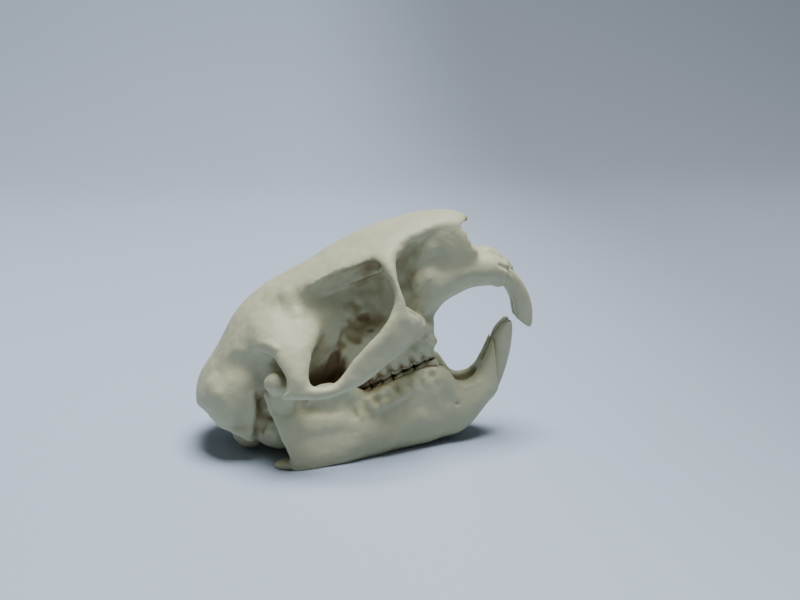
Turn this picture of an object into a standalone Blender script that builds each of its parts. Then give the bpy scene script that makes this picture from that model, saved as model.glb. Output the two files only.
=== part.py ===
"""Porcupine skull with its lower jaw: two bones and twenty teeth.

Run with: blender --background --python part.py, or from Blender's text editor.
Sizes in the tables are millimetres. The nose points along +X, the animal's left side is +Y, and
the skull stands on the plane z = 0 on the lower edges of its jaw.
"""

from collections import namedtuple
from math import copysign, cos, pi, radians, sin

import bmesh
import bpy
from mathutils import Matrix, Vector

MM = 0.001

# How finely the bones are kneaded, in millimetres, and how many triangles each one keeps.
CORE_VOXEL = 1.0
BONE_VOXEL = 0.8
CRANIUM_TRIANGLES = 4200
MANDIBLE_TRIANGLES = 1900

SECTION_POINTS = 24
STEPS_PER_SPAN = 4

# Air between a tooth and its socket, and between two teeth that meet.
SOCKET_GAP = 0.3
ROUND = (2.0, 2.0)
BED = (2.0, 3.2)
JAW_BED = (3.2, 2.0)
HANDS = ((1, "left"), (-1, "right"))

# A rib is one section of a loft: its upper and lower edge points, its width between them, and how
# square its upper and lower halves are (2 is an ellipse, more is boxier).
Rib = namedtuple("Rib", "top bottom width square", defaults=(ROUND,))

# Brain case and snout on the middle plane: (x, z) above, (x, z) below, width, squareness.
VAULT = [
    ((-51.7, 16.3), (-50.6, 12.5), 16, ROUND),
    ((-49.8, 22.2), (-45.0, 9.0), 31, ROUND),
    ((-45.1, 29.4), (-39.5, 6.5), 37, ROUND),
    ((-38.4, 41.0), (-31.5, 8.0), 40, ROUND),
    ((-29.8, 48.7), (-23.0, 10.0), 40, ROUND),
    ((-20.5, 53.8), (-15.0, 14.0), 36, ROUND),
    ((-12.0, 58.0), (-8.0, 20.0), 29, ROUND),
    ((-3.0, 62.0), (-1.0, 26.5), 23, ROUND),
    ((6.0, 65.0), (8.0, 29.5), 21, (2.0, 2.2)),
    ((14.0, 67.5), (17.0, 34.0), 22, (2.0, 2.4)),
    ((22.0, 68.5), (23.0, 41.5), 23, (2.1, 2.4)),
    ((28.0, 68.0), (29.0, 45.2), 21, (2.2, 2.4)),
    ((33.5, 66.0), (33.0, 46.5), 18, (2.2, 2.4)),
]

# The roof over the eyes, whose edges overhang them: (x, z) on top, depth, width.
ROOF = [
    ((-27.0, 50.4), 9.0, 22),
    ((-18.6, 54.2), 12.0, 31),
    ((-10.0, 59.3), 13.0, 34.0),
    ((-2.0, 63.5), 14.0, 35.5),
    ((4.0, 65.9), 14.0, 36.5),
    ((9.0, 67.4), 12.5, 34),
    ((14.0, 68.9), 11.5, 27.5),
    ((21.0, 70.1), 11.0, 24),
    ((27.0, 69.8), 9.0, 21),
    ((30.6, 68.9), 4.0, 12),
]

# The end of the snout that holds the front teeth: (x, z) above, (x, z) below, width, squareness.
SNOUT_END = [
    ((26.0, 61.5), (25.0, 43.0), 21, ROUND),
    ((31.5, 59.3), (31.2, 46.2), 17.5, ROUND),
    ((36.5, 58.4), (36.4, 46.7), 14, ROUND),
    ((41.3, 56.5), (39.8, 46.4), 12.6, ROUND),
    ((45.2, 53.2), (41.8, 46.0), 11.8, ROUND),
    ((48.0, 49.8), (43.6, 45.0), 11.4, ROUND),
]

# The cheek arch from the upper jaw back to the ear: upper edge, lower edge and thickness.
ARCH = [
    Rib((14.5, 9.0, 40.5), (15.5, 9.0, 33.0), 6.0),
    Rib((12.5, 18.0, 43.0), (13.5, 18.0, 35.0), 4.5),
    Rib((8.8, 25.3, 47.0), (10.0, 25.8, 34.8), 3.6),
    Rib((5.2, 29.0, 45.6), (6.0, 29.0, 32.8), 3.8),
    Rib((0.9, 31.0, 40.4), (1.0, 31.5, 29.8), 4.2),
    Rib((-5.0, 32.5, 35.0), (-4.0, 32.5, 26.2), 4.2),
    Rib((-9.5, 33.2, 29.2), (-9.5, 33.2, 23.9), 4.2),
    Rib((-13.0, 33.5, 26.8), (-14.5, 33.5, 22.8), 4.4),
    Rib((-17.5, 33.2, 26.4), (-20.0, 33.5, 22.6), 4.6),
    Rib((-19.5, 32.5, 28.5), (-26.5, 33.0, 23.2), 4.8),
]

# The root of the arch on the brain case: front edge, rear edge and thickness.
ARCH_ROOT = [
    Rib((-17.0, 33.0, 24.5), (-27.0, 33.3, 23.6), 4.4),
    Rib((-18.6, 32.3, 28.0), (-26.4, 33.0, 26.5), 4.6),
    Rib((-18.2, 29.5, 31.8), (-27.0, 30.5, 31.0), 5.6),
    Rib((-16.5, 25.0, 35.5), (-29.5, 25.5, 34.5), 8.5),
    Rib((-14.0, 17.0, 38.0), (-34.0, 17.0, 36.5), 13.0),
    Rib((-13.0, 8.0, 39.5), (-37.0, 8.0, 38.0), 14.0),
]

# The thin upright bar in front of the eye: front edge, rear edge and thickness.
EYE_BAR = [
    Rib((11.0, 12.0, 61.5), (-2.0, 12.5, 57.5), 4.0),
    Rib((8.0, 16.0, 61.6), (-0.6, 16.3, 58.2), 4.6),
    Rib((6.5, 19.2, 59.4), (2.4, 19.5, 57.6), 4.4),
    Rib((6.8, 22.2, 56.2), (4.7, 22.4, 55.8), 3.8),
    Rib((7.5, 24.4, 52.4), (5.7, 24.8, 52.4), 3.8),
    Rib((8.8, 26.0, 48.0), (6.0, 26.6, 48.6), 3.8),
    Rib((10.5, 27.0, 42.5), (3.5, 29.0, 43.0), 3.8),
]

# The bony bed of the upper cheek teeth.
UPPER_BED = [
    Rib((19.8, 7.0, 42.0), (20.0, 6.8, 30.0), 9.0, BED),
    Rib((10.0, 8.5, 40.0), (12.0, 8.2, 26.6), 10.4, BED),
    Rib((-1.0, 10.5, 38.0), (0.0, 9.8, 22.2), 10.6, BED),
    Rib((-8.5, 11.0, 33.0), (-7.0, 10.6, 20.8), 9.0, BED),
]

# The hollow for the eye and the jaw muscle, which leaves a sharp rim of roof above it.
EYE_HOLLOW = [
    Rib((2.6, 18.0, 57.8), (1.8, 19.5, 44.0), 11.0, (3.0, 2.0)),
    Rib((-3.0, 21.0, 57.6), (-3.0, 22.5, 40.0), 19.0, (3.4, 2.0)),
    Rib((-10.0, 22.0, 55.6), (-9.0, 23.5, 38.0), 20.0, (3.4, 2.0)),
    Rib((-17.0, 23.0, 53.0), (-14.5, 24.0, 40.0), 17.0, (3.0, 2.0)),
    Rib((-24.5, 24.0, 50.6), (-21.0, 25.0, 43.5), 10.5),
]

# The root of the upper front tooth, which swells the side of the snout: (x, y, z), radius.
ROOT_SWELLING = [
    ((42.0, 3.4, 50.6), 4.2),
    ((36.5, 4.6, 52.6), 4.4),
    ((30.0, 6.2, 52.6), 4.6),
    ((23.0, 8.4, 49.8), 4.4),
    ((17.5, 10.0, 45.5), 4.0),
    ((13.5, 11.0, 41.0), 3.6),
]

# The spur of bone behind the ear capsule.
EAR_SPUR = [
    Rib((-31.5, 17.0, 20.0), (-45.0, 16.0, 16.0), 8.0),
    Rib((-32.5, 18.0, 11.0), (-41.0, 17.0, 9.5), 5.5),
    Rib((-33.0, 17.5, 5.0), (-36.0, 17.0, 5.0), 3.0),
]

# The plate that hangs beside the throat opening: upper edge, lower edge, thickness.
THROAT_PLATE = [
    Rib((-3.0, 7.8, 30.0), (-5.0, 7.8, 22.5), 3.0),
    Rib((-9.0, 7.2, 26.0), (-11.0, 7.2, 17.0), 2.6),
    Rib((-16.0, 6.5, 22.0), (-18.0, 7.0, 13.0), 2.6),
]

# The back of the head is cut off flat along a line through these (x, z) points.
BACK_PLATE = [(-60.0, 20.5), (-49.4, 13.0), (-35.0, 4.2), (-30.0, -2.0), (-60.0, -2.0)]
# The side view of the nose opening, below and in front of the tips of the nasal bones.
NOSE_OPENING = [
    (31.6, 67.4),
    (28.7, 67.0),
    (30.0, 64.2),
    (30.4, 61.6),
    (32.0, 59.4),
    (34.0, 58.4),
    (60.0, 58.0),
    (60.0, 67.4),
]

# The left half of the jaw from the chin back to its rear edge: upper and lower edge, thickness.
JAW = [
    Rib((39.4, 2.8, 31.6), (44.5, 2.8, 19.0), 5.6),
    Rib((37.6, 2.9, 27.4), (42.4, 2.9, 16.0), 6.2),
    Rib((35.8, 3.4, 23.4), (39.8, 3.4, 12.8), 7.4),
    Rib((33.4, 4.2, 19.8), (36.6, 4.2, 10.0), 8.6),
    Rib((30.4, 5.0, 18.2), (32.6, 5.2, 5.2), 9.8),
    Rib((26.6, 5.8, 19.0), (27.6, 6.4, 0.9), 10.4),
    Rib((22.8, 6.8, 22.6), (22.4, 7.8, -0.5), 10.8, JAW_BED),
    Rib((17.6, 8.0, 22.6), (15.5, 11.2, -0.6), 11.8, JAW_BED),
    Rib((10.5, 9.4, 20.2), (7.5, 14.2, -0.6), 12.4, JAW_BED),
    Rib((3.0, 11.2, 17.4), (0.0, 18.2, -0.6), 11.6, JAW_BED),
    Rib((-4.5, 13.8, 15.6), (-8.0, 23.0, -0.6), 9.4, JAW_BED),
    Rib((-11.0, 19.0, 19.5), (-15.0, 26.2, -0.6), 6.4),
    Rib((-16.0, 22.4, 22.5), (-20.0, 28.2, -0.6), 4.6),
    Rib((-21.5, 24.4, 23.4), (-22.6, 28.8, 0.4), 3.6),
    Rib((-27.5, 25.2, 23.4), (-23.8, 28.4, 2.6), 3.0),
    Rib((-31.8, 25.8, 23.0), (-26.0, 27.6, 8.0), 2.4),
]

# The joined front of the two jaw halves: (x, z) above, (x, z) below, width, squareness.
CHIN = [
    ((19.0, 9.5), (19.0, 4.0), 8, ROUND),
    ((26.0, 15.0), (26.0, 2.4), 11, ROUND),
    ((32.0, 17.5), (33.5, 7.6), 10, ROUND),
    ((36.0, 23.0), (38.6, 14.6), 7, ROUND),
]

# The bone ends along these lines where the front teeth leave it, shown from the side.
SNOUT_MARGIN = [(47.4, 55.0), (41.2, 45.6), (44.0, 40.0), (60.0, 40.0), (60.0, 57.0)]
JAW_MARGIN = [(38.8, 32.0), (39.5, 24.0), (40.7, 14.6), (43.0, 8.0), (60.0, 8.0), (60.0, 32.0)]

# Front teeth: (x, z) along the middle of the tooth, and half its depth there.
UPPER_INCISOR = [
    (30.5, 51.5, 2.5),
    (36.5, 51.9, 2.6),
    (41.6, 50.2, 2.7),
    (45.3, 46.9, 2.75),
    (47.6, 42.8, 2.75),
    (48.6, 38.4, 2.7),
    (48.5, 33.0, 2.6),
]
LOWER_INCISOR = [
    (30.0, 8.5, 2.3),
    (33.8, 11.8, 2.5),
    (37.0, 16.0, 2.7),
    (39.5, 20.5, 2.85),
    (41.2, 25.3, 2.85),
    (42.2, 30.5, 2.8),
    (42.0, 37.0, 2.9),
]
INCISOR_OFFSET = 2.55
INCISOR_NARROWING = 0.82
# Each front tooth is worn to a chisel along these (x, z) lines.
UPPER_CHISEL = [
    (53, 33.2),
    (50.0, 33.7),
    (47.4, 35.4),
    (45.9, 37.2),
    (43, 40.5),
    (40, 28),
    (53, 28),
]
LOWER_CHISEL = [
    (36, 24),
    (39.0, 29.6),
    (39.8, 32.2),
    (41.5, 34.9),
    (44, 36.1),
    (48, 36.4),
    (36, 42),
]

# The biting plane of the cheek teeth climbs towards the nose. A row runs back from its front end.
BITE_FRONT = Vector((20.6, 0.0, 26.6))
BITE_SLOPE = radians(20)
ALONG_ROW = Vector((-cos(BITE_SLOPE), 0, -sin(BITE_SLOPE)))
ABOVE_BITE = Vector((-sin(BITE_SLOPE), 0, cos(BITE_SLOPE)))
TOOTH_PITCH = 7.1
TOOTH_WIDTH = 5.8
CHEEK_TEETH = ("premolar", "molar_1", "molar_2", "molar_3")
TOOTH_OUTLINE = 12
# For each jaw: sideways place of the four teeth, height of the crown and of the root's end.
ROWS = {
    "upper": ((6.6, 7.8, 9.0, 10.0), SOCKET_GAP / 2, 6.5),
    "lower": ((7.6, 8.8, 10.2, 11.4), -SOCKET_GAP / 2, -6.5),
}

# Bone and enamel: colour in linear light, roughness.
BONE = ((0.60, 0.56, 0.44, 1), 0.62)
ENAMEL = ((0.62, 0.58, 0.45, 1), 0.45)


# Helpers for objects


def clear_scene():
    for obj in list(bpy.data.objects):
        bpy.data.objects.remove(obj, do_unlink=True)


def new_collection(name):
    collection = bpy.data.collections.new(name)
    bpy.context.scene.collection.children.link(collection)
    return collection


def add_mesh(name, bm, collection):
    """Writes a bmesh to a new object with its faces pointing out."""
    bmesh.ops.recalc_face_normals(bm, faces=bm.faces)
    mesh = bpy.data.meshes.new(name)
    bm.to_mesh(mesh)
    bm.free()
    obj = bpy.data.objects.new(name, mesh)
    collection.objects.link(obj)
    return obj


def apply_modifiers(obj):
    """Replaces the object's mesh by its evaluated one."""
    graph = bpy.context.evaluated_depsgraph_get()
    graph.update()
    made = bpy.data.meshes.new_from_object(obj.evaluated_get(graph), depsgraph=graph)
    obj.modifiers.clear()
    obj.data = made
    return obj


def paint(obj, finish):
    """Gives the object a Principled material of its own."""
    colour, roughness = finish
    material = bpy.data.materials.new(obj.name)
    material.use_nodes = True
    shader = material.node_tree.nodes["Principled BSDF"]
    shader.inputs["Base Color"].default_value = colour
    shader.inputs["Roughness"].default_value = roughness
    shader.inputs["Metallic"].default_value = 0.0
    obj.data.materials.clear()
    obj.data.materials.append(material)
    return obj


# Modelling tools


def superellipse(angle, square):
    """Unit offsets (up, out) of a section point."""
    up, out = cos(angle), sin(angle)
    power = 2.0 / (square[0] if up > 0 else square[1])
    return copysign(abs(up) ** power, up), copysign(abs(out) ** power, out)


def spline(values, t):
    """Catmull-Rom value at t, which counts the spans along the list."""
    last = len(values) - 1
    i = min(int(t), last - 1)
    u = t - i
    before = values[i - 1] if i else values[0] * 2 - values[1]
    after = values[i + 2] if i + 2 <= last else values[last] * 2 - values[last - 1]
    a, b = values[i], values[i + 1]
    return (
        a * 2
        + (b - before) * u
        + (before * 2 - a * 5 + b * 4 - after) * u**2
        + (a * 3 - before - b * 3 + after) * u**3
    ) * 0.5


def bridge(bm, rings):
    """Joins closed rings of vertices with faces and closes both ends."""
    count = len(rings[0])
    for ring, following in zip(rings, rings[1:]):
        for j in range(count):
            n = (j + 1) % count
            bm.faces.new((ring[j], ring[n], following[n], following[j]))
    bm.faces.new(rings[0])
    bm.faces.new(rings[-1])


def loft(name, ribs, collection, side=None):
    """Skins a closed shell over the ribs. Without a side direction, each rib's width is measured
    square to the strip that the ribs make."""
    tops = [Vector(r.top) for r in ribs]
    bottoms = [Vector(r.bottom) for r in ribs]
    sizes = [Vector((r.width, r.square[0], r.square[1])) for r in ribs]
    count = (len(ribs) - 1) * STEPS_PER_SPAN
    path = []
    for k in range(count + 1):
        t = k / STEPS_PER_SPAN
        path.append((spline(tops, t), spline(bottoms, t), spline(sizes, t)))
    bm = bmesh.new()
    rings = []
    for k, (top, bottom, size) in enumerate(path):
        middle, reach = (top + bottom) / 2, (top - bottom) / 2
        ahead = path[min(k + 1, count)]
        behind = path[max(k - 1, 0)]
        travel = (ahead[0] + ahead[1] - behind[0] - behind[1]) / 2
        out_way = Vector(side) if side else reach.cross(travel).normalized()
        ring = []
        for j in range(SECTION_POINTS):
            up, out = superellipse(2 * pi * j / SECTION_POINTS, (size[1], size[2]))
            point = middle + reach * up + out_way * (out * size[0] / 2)
            ring.append(bm.verts.new(point * MM))
        rings.append(ring)
    bridge(bm, rings)
    return add_mesh(name, bm, collection)


def middle_loft(name, table, collection):
    """A loft on the middle plane, from rows of (x, z) above, (x, z) below, width, squareness."""
    ribs = [
        Rib((high[0], 0, high[1]), (low[0], 0, low[1]), width, square)
        for high, low, width, square in table
    ]
    return loft(name, ribs, collection, side=(0, 1, 0))


def side_loft(name, ribs, hand, collection, side=None):
    """A loft on the left side (hand 1) or mirrored to the right side (hand -1)."""
    placed = []
    for rib in ribs:
        (tx, ty, tz), (bx, by, bz) = rib.top, rib.bottom
        placed.append(Rib((tx, hand * ty, tz), (bx, hand * by, bz), rib.width, rib.square))
    return loft(name, placed, collection, side)


def ellipsoid(name, centre, radii, collection, turn=(0, 0, 0), segments=24):
    """A stretched sphere, turned about X, Y and Z in degrees."""
    bm = bmesh.new()
    bmesh.ops.create_uvsphere(bm, u_segments=segments, v_segments=segments // 2, radius=1)
    place = Matrix.Translation(Vector(centre) * MM)
    for axis, degrees in zip("ZYX", reversed(turn)):
        place = place @ Matrix.Rotation(radians(degrees), 4, axis)
    place = place @ Matrix.Diagonal((*(r * MM for r in radii), 1))
    bmesh.ops.transform(bm, matrix=place, verts=bm.verts)
    return add_mesh(name, bm, collection)


def curve_to_mesh(source, collection):
    """Puts a mesh with welded caps in the place of a curve object."""
    bpy.context.view_layer.update()
    graph = bpy.context.evaluated_depsgraph_get()
    made = bpy.data.meshes.new_from_object(source.evaluated_get(graph), depsgraph=graph)
    bm = bmesh.new()
    bm.from_mesh(made)
    bmesh.ops.remove_doubles(bm, verts=bm.verts, dist=1e-6)
    name, place = source.name, source.matrix_world.copy()
    bpy.data.objects.remove(source)
    solid = add_mesh(name, bm, collection)
    solid.matrix_world = place
    return solid


def tube(name, points, radii, collection, resolution=2, steps_per_span=2):
    """A round rod along a smooth curve, with its own radius at each point."""
    curve = bpy.data.curves.new(name, "CURVE")
    curve.dimensions = "3D"
    curve.bevel_depth = MM
    curve.bevel_resolution = resolution
    curve.use_fill_caps = True
    run = curve.splines.new("POLY")
    steps = (len(points) - 1) * steps_per_span
    run.points.add(steps)
    vectors = [Vector(p) for p in points]
    for k in range(steps + 1):
        t = k / steps_per_span
        run.points[k].co = (*(spline(vectors, t) * MM), 1)
        run.points[k].radius = spline(radii, t)
    rod = bpy.data.objects.new(name, curve)
    collection.objects.link(rod)
    return curve_to_mesh(rod, collection)


def prism(name, outline, half_width, collection):
    """A flat (x, z) outline pulled out sideways, to both sides of the middle plane."""
    curve = bpy.data.curves.new(name, "CURVE")
    curve.dimensions = "2D"
    curve.fill_mode = "BOTH"
    curve.extrude = half_width * MM
    edge = curve.splines.new("POLY")
    edge.points.add(len(outline) - 1)
    edge.use_cyclic_u = True
    for point, (x, z) in zip(edge.points, outline):
        point.co = (x * MM, z * MM, 0, 1)
    slab = bpy.data.objects.new(name, curve)
    slab.rotation_euler = (radians(90), 0, 0)
    collection.objects.link(slab)
    return curve_to_mesh(slab, collection)


def fuse(name, pieces, voxel, smoothing, collection):
    """Kneads the pieces into one body: one voxel remesh and a few smoothing passes."""
    bm = bmesh.new()
    for piece in pieces:
        bm.from_mesh(piece.data)
        bpy.data.objects.remove(piece)
    mesh = bpy.data.meshes.new(name)
    bm.to_mesh(mesh)
    bm.free()
    body = bpy.data.objects.new(name, mesh)
    collection.objects.link(body)
    remesh = body.modifiers.new("Knead", "REMESH")
    remesh.mode = "VOXEL"
    remesh.voxel_size = voxel * MM
    soften = body.modifiers.new("Soften", "SMOOTH")
    soften.factor = 0.5
    soften.iterations = smoothing
    return apply_modifiers(body)


def simplify(body, triangles):
    """Thins the mesh out to about this many triangles, then makes both sides alike."""
    made = sum(len(face.vertices) - 2 for face in body.data.polygons)
    thin = body.modifiers.new("Thin", "DECIMATE")
    thin.ratio = triangles / made
    thin.use_collapse_triangulate = True
    apply_modifiers(body)
    bm = bmesh.new()
    bm.from_mesh(body.data)
    everything = bm.verts[:] + bm.edges[:] + bm.faces[:]
    bmesh.ops.symmetrize(bm, input=everything, direction="Y", dist=0.05 * MM)
    bm.to_mesh(body.data)
    bm.free()
    return body


def cut(body, cutters):
    for cutter in cutters:
        difference = body.modifiers.new(cutter.name, "BOOLEAN")
        difference.object = cutter
        difference.operation = "DIFFERENCE"
        difference.solver = "EXACT"
        apply_modifiers(body)
        bpy.data.objects.remove(cutter)
    return body


# Teeth


def tooth_middle(jaw, place, hand, height):
    """A point over the middle line of a row. Place counts teeth from the middle of the first."""
    offsets = [float(y) for y in ROWS[jaw][0]]
    sideways = spline(offsets, min(max(place, 0.0), 3.0))
    point = BITE_FRONT + ALONG_ROW * ((place + 0.5) * TOOTH_PITCH) + ABOVE_BITE * height
    return point + Vector((0, hand * sideways, 0))


def tooth_trough(jaw, hand, collection):
    """Cutter for the groove that a row of cheek teeth stands in."""
    root = ROWS[jaw][2]
    deep = root + copysign(SOCKET_GAP, root)
    shallow = -copysign(5.0, root)
    margin = SOCKET_GAP / TOOTH_PITCH
    half_width = TOOTH_WIDTH / 2 + SOCKET_GAP
    bm = bmesh.new()
    rings = []
    for place in (-0.5 - margin, 0.5, 1.5, 2.5, 3.5 + margin):
        ring = []
        for height, out in ((deep, -1), (deep, 1), (shallow, 1), (shallow, -1)):
            point = tooth_middle(jaw, place, hand, height) + Vector((0, out * half_width, 0))
            ring.append(bm.verts.new(point * MM))
        rings.append(ring)
    bridge(bm, rings)
    return add_mesh("trough_" + jaw, bm, collection)


def cheek_tooth(jaw, index, hand, tag, collection):
    """A crown with a fold in each side, on a straight root. Its own Z axis is square to the bite."""
    _, crown, root = ROWS[jaw]
    half_length = (TOOTH_PITCH - SOCKET_GAP) / 2
    half_width = TOOTH_WIDTH / 2 - 0.1
    bm = bmesh.new()
    rings = []
    for height, size in ((crown, 0.93), (crown + (root - crown) * 0.16, 1.0), (root, 0.95)):
        ring = []
        for j in range(TOOTH_OUTLINE):
            ahead, out = superellipse(2 * pi * j / TOOTH_OUTLINE, (3.4, 3.4))
            fold = 0.8 if j % (TOOTH_OUTLINE // 2) == TOOTH_OUTLINE // 4 else 1.0
            point = Vector((ahead * half_length * size, out * half_width * size * fold, height))
            ring.append(bm.verts.new(point * MM))
        rings.append(ring)
    bridge(bm, rings)
    tooth = add_mesh(f"{jaw}_{CHEEK_TEETH[index]}_{tag}", bm, collection)
    tooth.location = tooth_middle(jaw, index, hand, 0) * MM
    tooth.rotation_euler = (0, -BITE_SLOPE, 0)
    return paint(tooth, ENAMEL)


def incisor_rod(name, path, hand, collection, extra=0.0):
    """A curved rod for a front tooth, narrower than it is deep, or for its roomier socket."""
    points = [Vector((x, 0, z)) for x, z, _ in path]
    radii = [r + extra for _, _, r in path]
    if extra:
        points[0] += (points[0] - points[1]).normalized() * extra
    obj = tube(name, points, radii, collection)
    narrow = Matrix.Diagonal((1, INCISOR_NARROWING, 1, 1))
    if extra:
        narrow = Matrix.Diagonal((1, INCISOR_NARROWING + 0.08, 1, 1))
    obj.data.transform(Matrix.Translation((0, hand * INCISOR_OFFSET * MM, 0)) @ narrow)
    return obj


def incisor(name, path, chisel, hand, parts, cutters):
    tooth = incisor_rod(name, path, hand, parts)
    cut(tooth, [prism("chisel", chisel, 12, cutters)])
    return paint(tooth, ENAMEL)


# Cranium


def cranium(parts, cutters):
    pieces = [
        middle_loft("vault", VAULT, parts),
        ellipsoid("skull_base", (-30, 0, 9), (10, 10, 5.5), parts, (0, 20, 0)),
    ]
    for hand, tag in HANDS:
        spin = (0, 0, hand * 20)
        pieces += [
            ellipsoid("bulla_" + tag, (-27.0, hand * 13.0, 10.5), (9.5, 7.2, 9.0), parts, spin),
            ellipsoid("mastoid_" + tag, (-38.5, hand * 15, 17), (8, 6, 9), parts, (0, 30, 0)),
            side_loft("upper_bed_" + tag, UPPER_BED, hand, parts, side=(0, 1, 0)),
        ]
    body = fuse("cranium", pieces, CORE_VOXEL, 8, parts)
    cut(
        body,
        [
            prism("back_plate", BACK_PLATE, 40, cutters),
            ellipsoid("spinal_opening", (-41.5, 0, 8.0), (6.5, 6.0, 12), cutters, (0, 32, 0)),
        ],
    )
    roof = [((x, z), (x + 0.25 * depth, z - depth), width, ROUND) for (x, z), depth, width in ROOF]
    strips = [middle_loft("roof", roof, parts), middle_loft("snout_end", SNOUT_END, parts)]
    for hand, tag in HANDS:
        root = [(x, hand * y, z) for (x, y, z), _ in ROOT_SWELLING]
        strips += [
            side_loft("arch_" + tag, ARCH, hand, parts),
            side_loft("arch_root_" + tag, ARCH_ROOT, hand, parts),
            side_loft("eye_bar_" + tag, EYE_BAR, hand, parts),
            side_loft("ear_spur_" + tag, EAR_SPUR, hand, parts),
            side_loft("throat_plate_" + tag, THROAT_PLATE, hand, parts),
            tube("root_swelling_" + tag, root, [r for _, r in ROOT_SWELLING], parts),
            ellipsoid("neck_joint_" + tag, (-36, hand * 8.2, 5.0), (5.2, 3.8, 4.4), parts, (0, 32, 0)),
        ]
    body = fuse("cranium", [body] + strips, BONE_VOXEL, 4, parts)
    hollows = [
        side_loft("eye_hollow", EYE_HOLLOW, hand, cutters, side=(0, 1, 0)) for hand, _ in HANDS
    ]
    cut(body, hollows)
    simplify(body, CRANIUM_TRIANGLES)
    cavity = ellipsoid("nose_cavity", (31, 0, 62.9), (15, 8.4, 5.0), cutters, (0, -4, 0), 16)
    opening = prism("nose_opening", NOSE_OPENING, 30, cutters)
    cut(body, [opening, cavity, prism("margin", SNOUT_MARGIN, 30, cutters)])
    for hand, tag in HANDS:
        socket = incisor_rod("socket", UPPER_INCISOR, hand, cutters, SOCKET_GAP)
        cut(body, [tooth_trough("upper", hand, cutters), socket])
    return paint(body, BONE)


# Mandible


def mandible(parts, cutters):
    pieces = [middle_loft("chin", CHIN, parts)]
    for hand, tag in HANDS:
        spin = (0, 0, hand * 12)
        pieces += [
            side_loft("jaw_" + tag, JAW, hand, parts),
            ellipsoid("condyle_" + tag, (-26.8, hand * 25, 25.8), (4.6, 2.8, 3.3), parts, (0, -20, 0)),
            ellipsoid("jaw_neck_" + tag, (-25.4, hand * 25.2, 20), (4.6, 2.3, 6), parts, (0, 10, 0)),
            ellipsoid("angle_" + tag, (-21.5, hand * 27.0, 1.8), (6.5, 3.8, 2.6), parts, spin),
        ]
    body = fuse("mandible", pieces, BONE_VOXEL, 3, parts)
    simplify(body, MANDIBLE_TRIANGLES)
    below = [(-60, 0), (60, 0), (60, -20), (-60, -20)]
    cut(body, [prism("table", below, 60, cutters), prism("margin", JAW_MARGIN, 30, cutters)])
    for hand, tag in HANDS:
        socket = incisor_rod("socket", LOWER_INCISOR, hand, cutters, SOCKET_GAP)
        cut(body, [tooth_trough("lower", hand, cutters), socket])
    return paint(body, BONE)


def main():
    clear_scene()
    parts = new_collection("porcupine_skull")
    cutters = new_collection("cutters")
    cranium(parts, cutters)
    mandible(parts, cutters)
    for hand, tag in HANDS:
        incisor("upper_incisor_" + tag, UPPER_INCISOR, UPPER_CHISEL, hand, parts, cutters)
        incisor("lower_incisor_" + tag, LOWER_INCISOR, LOWER_CHISEL, hand, parts, cutters)
        for jaw in ROWS:
            for index in range(len(CHEEK_TEETH)):
                cheek_tooth(jaw, index, hand, tag, parts)
    bpy.data.collections.remove(cutters)


main()
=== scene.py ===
# %% [markdown]
# A porcupine skull with its jaw in place. The real one is grown bone: a domed brain case, a deep
# snout, thin cheek arches and a jaw that only rests under them, with two long front teeth in each
# jaw and four folded cheek teeth in each row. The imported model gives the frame, so every piece here
# is modelled at its real place, in metres, with the nose towards +X and the left side at +Y.

# %% Load the frame
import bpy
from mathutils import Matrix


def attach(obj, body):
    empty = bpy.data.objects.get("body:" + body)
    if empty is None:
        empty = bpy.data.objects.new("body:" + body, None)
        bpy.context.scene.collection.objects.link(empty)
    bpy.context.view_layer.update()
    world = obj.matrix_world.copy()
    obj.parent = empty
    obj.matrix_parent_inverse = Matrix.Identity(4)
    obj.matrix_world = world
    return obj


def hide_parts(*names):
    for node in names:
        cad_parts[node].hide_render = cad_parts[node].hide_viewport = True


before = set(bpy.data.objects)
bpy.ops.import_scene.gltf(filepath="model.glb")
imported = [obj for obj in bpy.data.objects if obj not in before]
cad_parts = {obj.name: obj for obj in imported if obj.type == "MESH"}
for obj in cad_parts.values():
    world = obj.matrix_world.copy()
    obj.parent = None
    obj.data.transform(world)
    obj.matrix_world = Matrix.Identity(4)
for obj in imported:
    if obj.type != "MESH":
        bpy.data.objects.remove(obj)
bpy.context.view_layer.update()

# %% Tools and units
from collections import namedtuple
from math import copysign, cos, pi, radians, sin

import bmesh
import bpy
import numpy as np
from mathutils import Matrix, Vector
from mathutils.bvhtree import BVHTree

MM = 0.001
LEFT = 1
RIGHT = -1


def deselect():
    bpy.ops.object.select_all(action="DESELECT")


deselect()
print("nodes in the frame:", len(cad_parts))

# %% [markdown]
# The camera comes first. The photograph looks at the animal's right side from a little behind and
# above. The camera could be placed by hand until the outline fits, but here it is set by its
# angles, distance and lens, as a photographer would note them, so each can be tried on its own.

# %% Camera
VIEW_AZIMUTH = -7.0
VIEW_HEIGHT = 13.0
VIEW_DISTANCE = 380.0
VIEW_TARGET = Vector((10.76, 0.0, 42.75))
FOCAL_LENGTH = 56.25


def towards_camera(azimuth, height):
    """Unit direction from the object to a viewer at these angles, in degrees."""
    a, h = radians(azimuth), radians(height)
    return Vector((sin(a) * cos(h), -cos(a) * cos(h), sin(h)))


back = towards_camera(VIEW_AZIMUTH, VIEW_HEIGHT)
bpy.ops.object.camera_add(location=(VIEW_TARGET + back * VIEW_DISTANCE) * MM)
camera = bpy.context.object
camera.name = "camera"
camera.rotation_euler = back.to_track_quat("Z", "Y").to_euler()
camera.data.lens = FOCAL_LENGTH
camera.data.sensor_width = 36.0
camera.data.clip_start = 0.01
bpy.context.scene.camera = camera
deselect()
print("camera in mm", [round(v / MM, 1) for v in camera.location])

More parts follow.
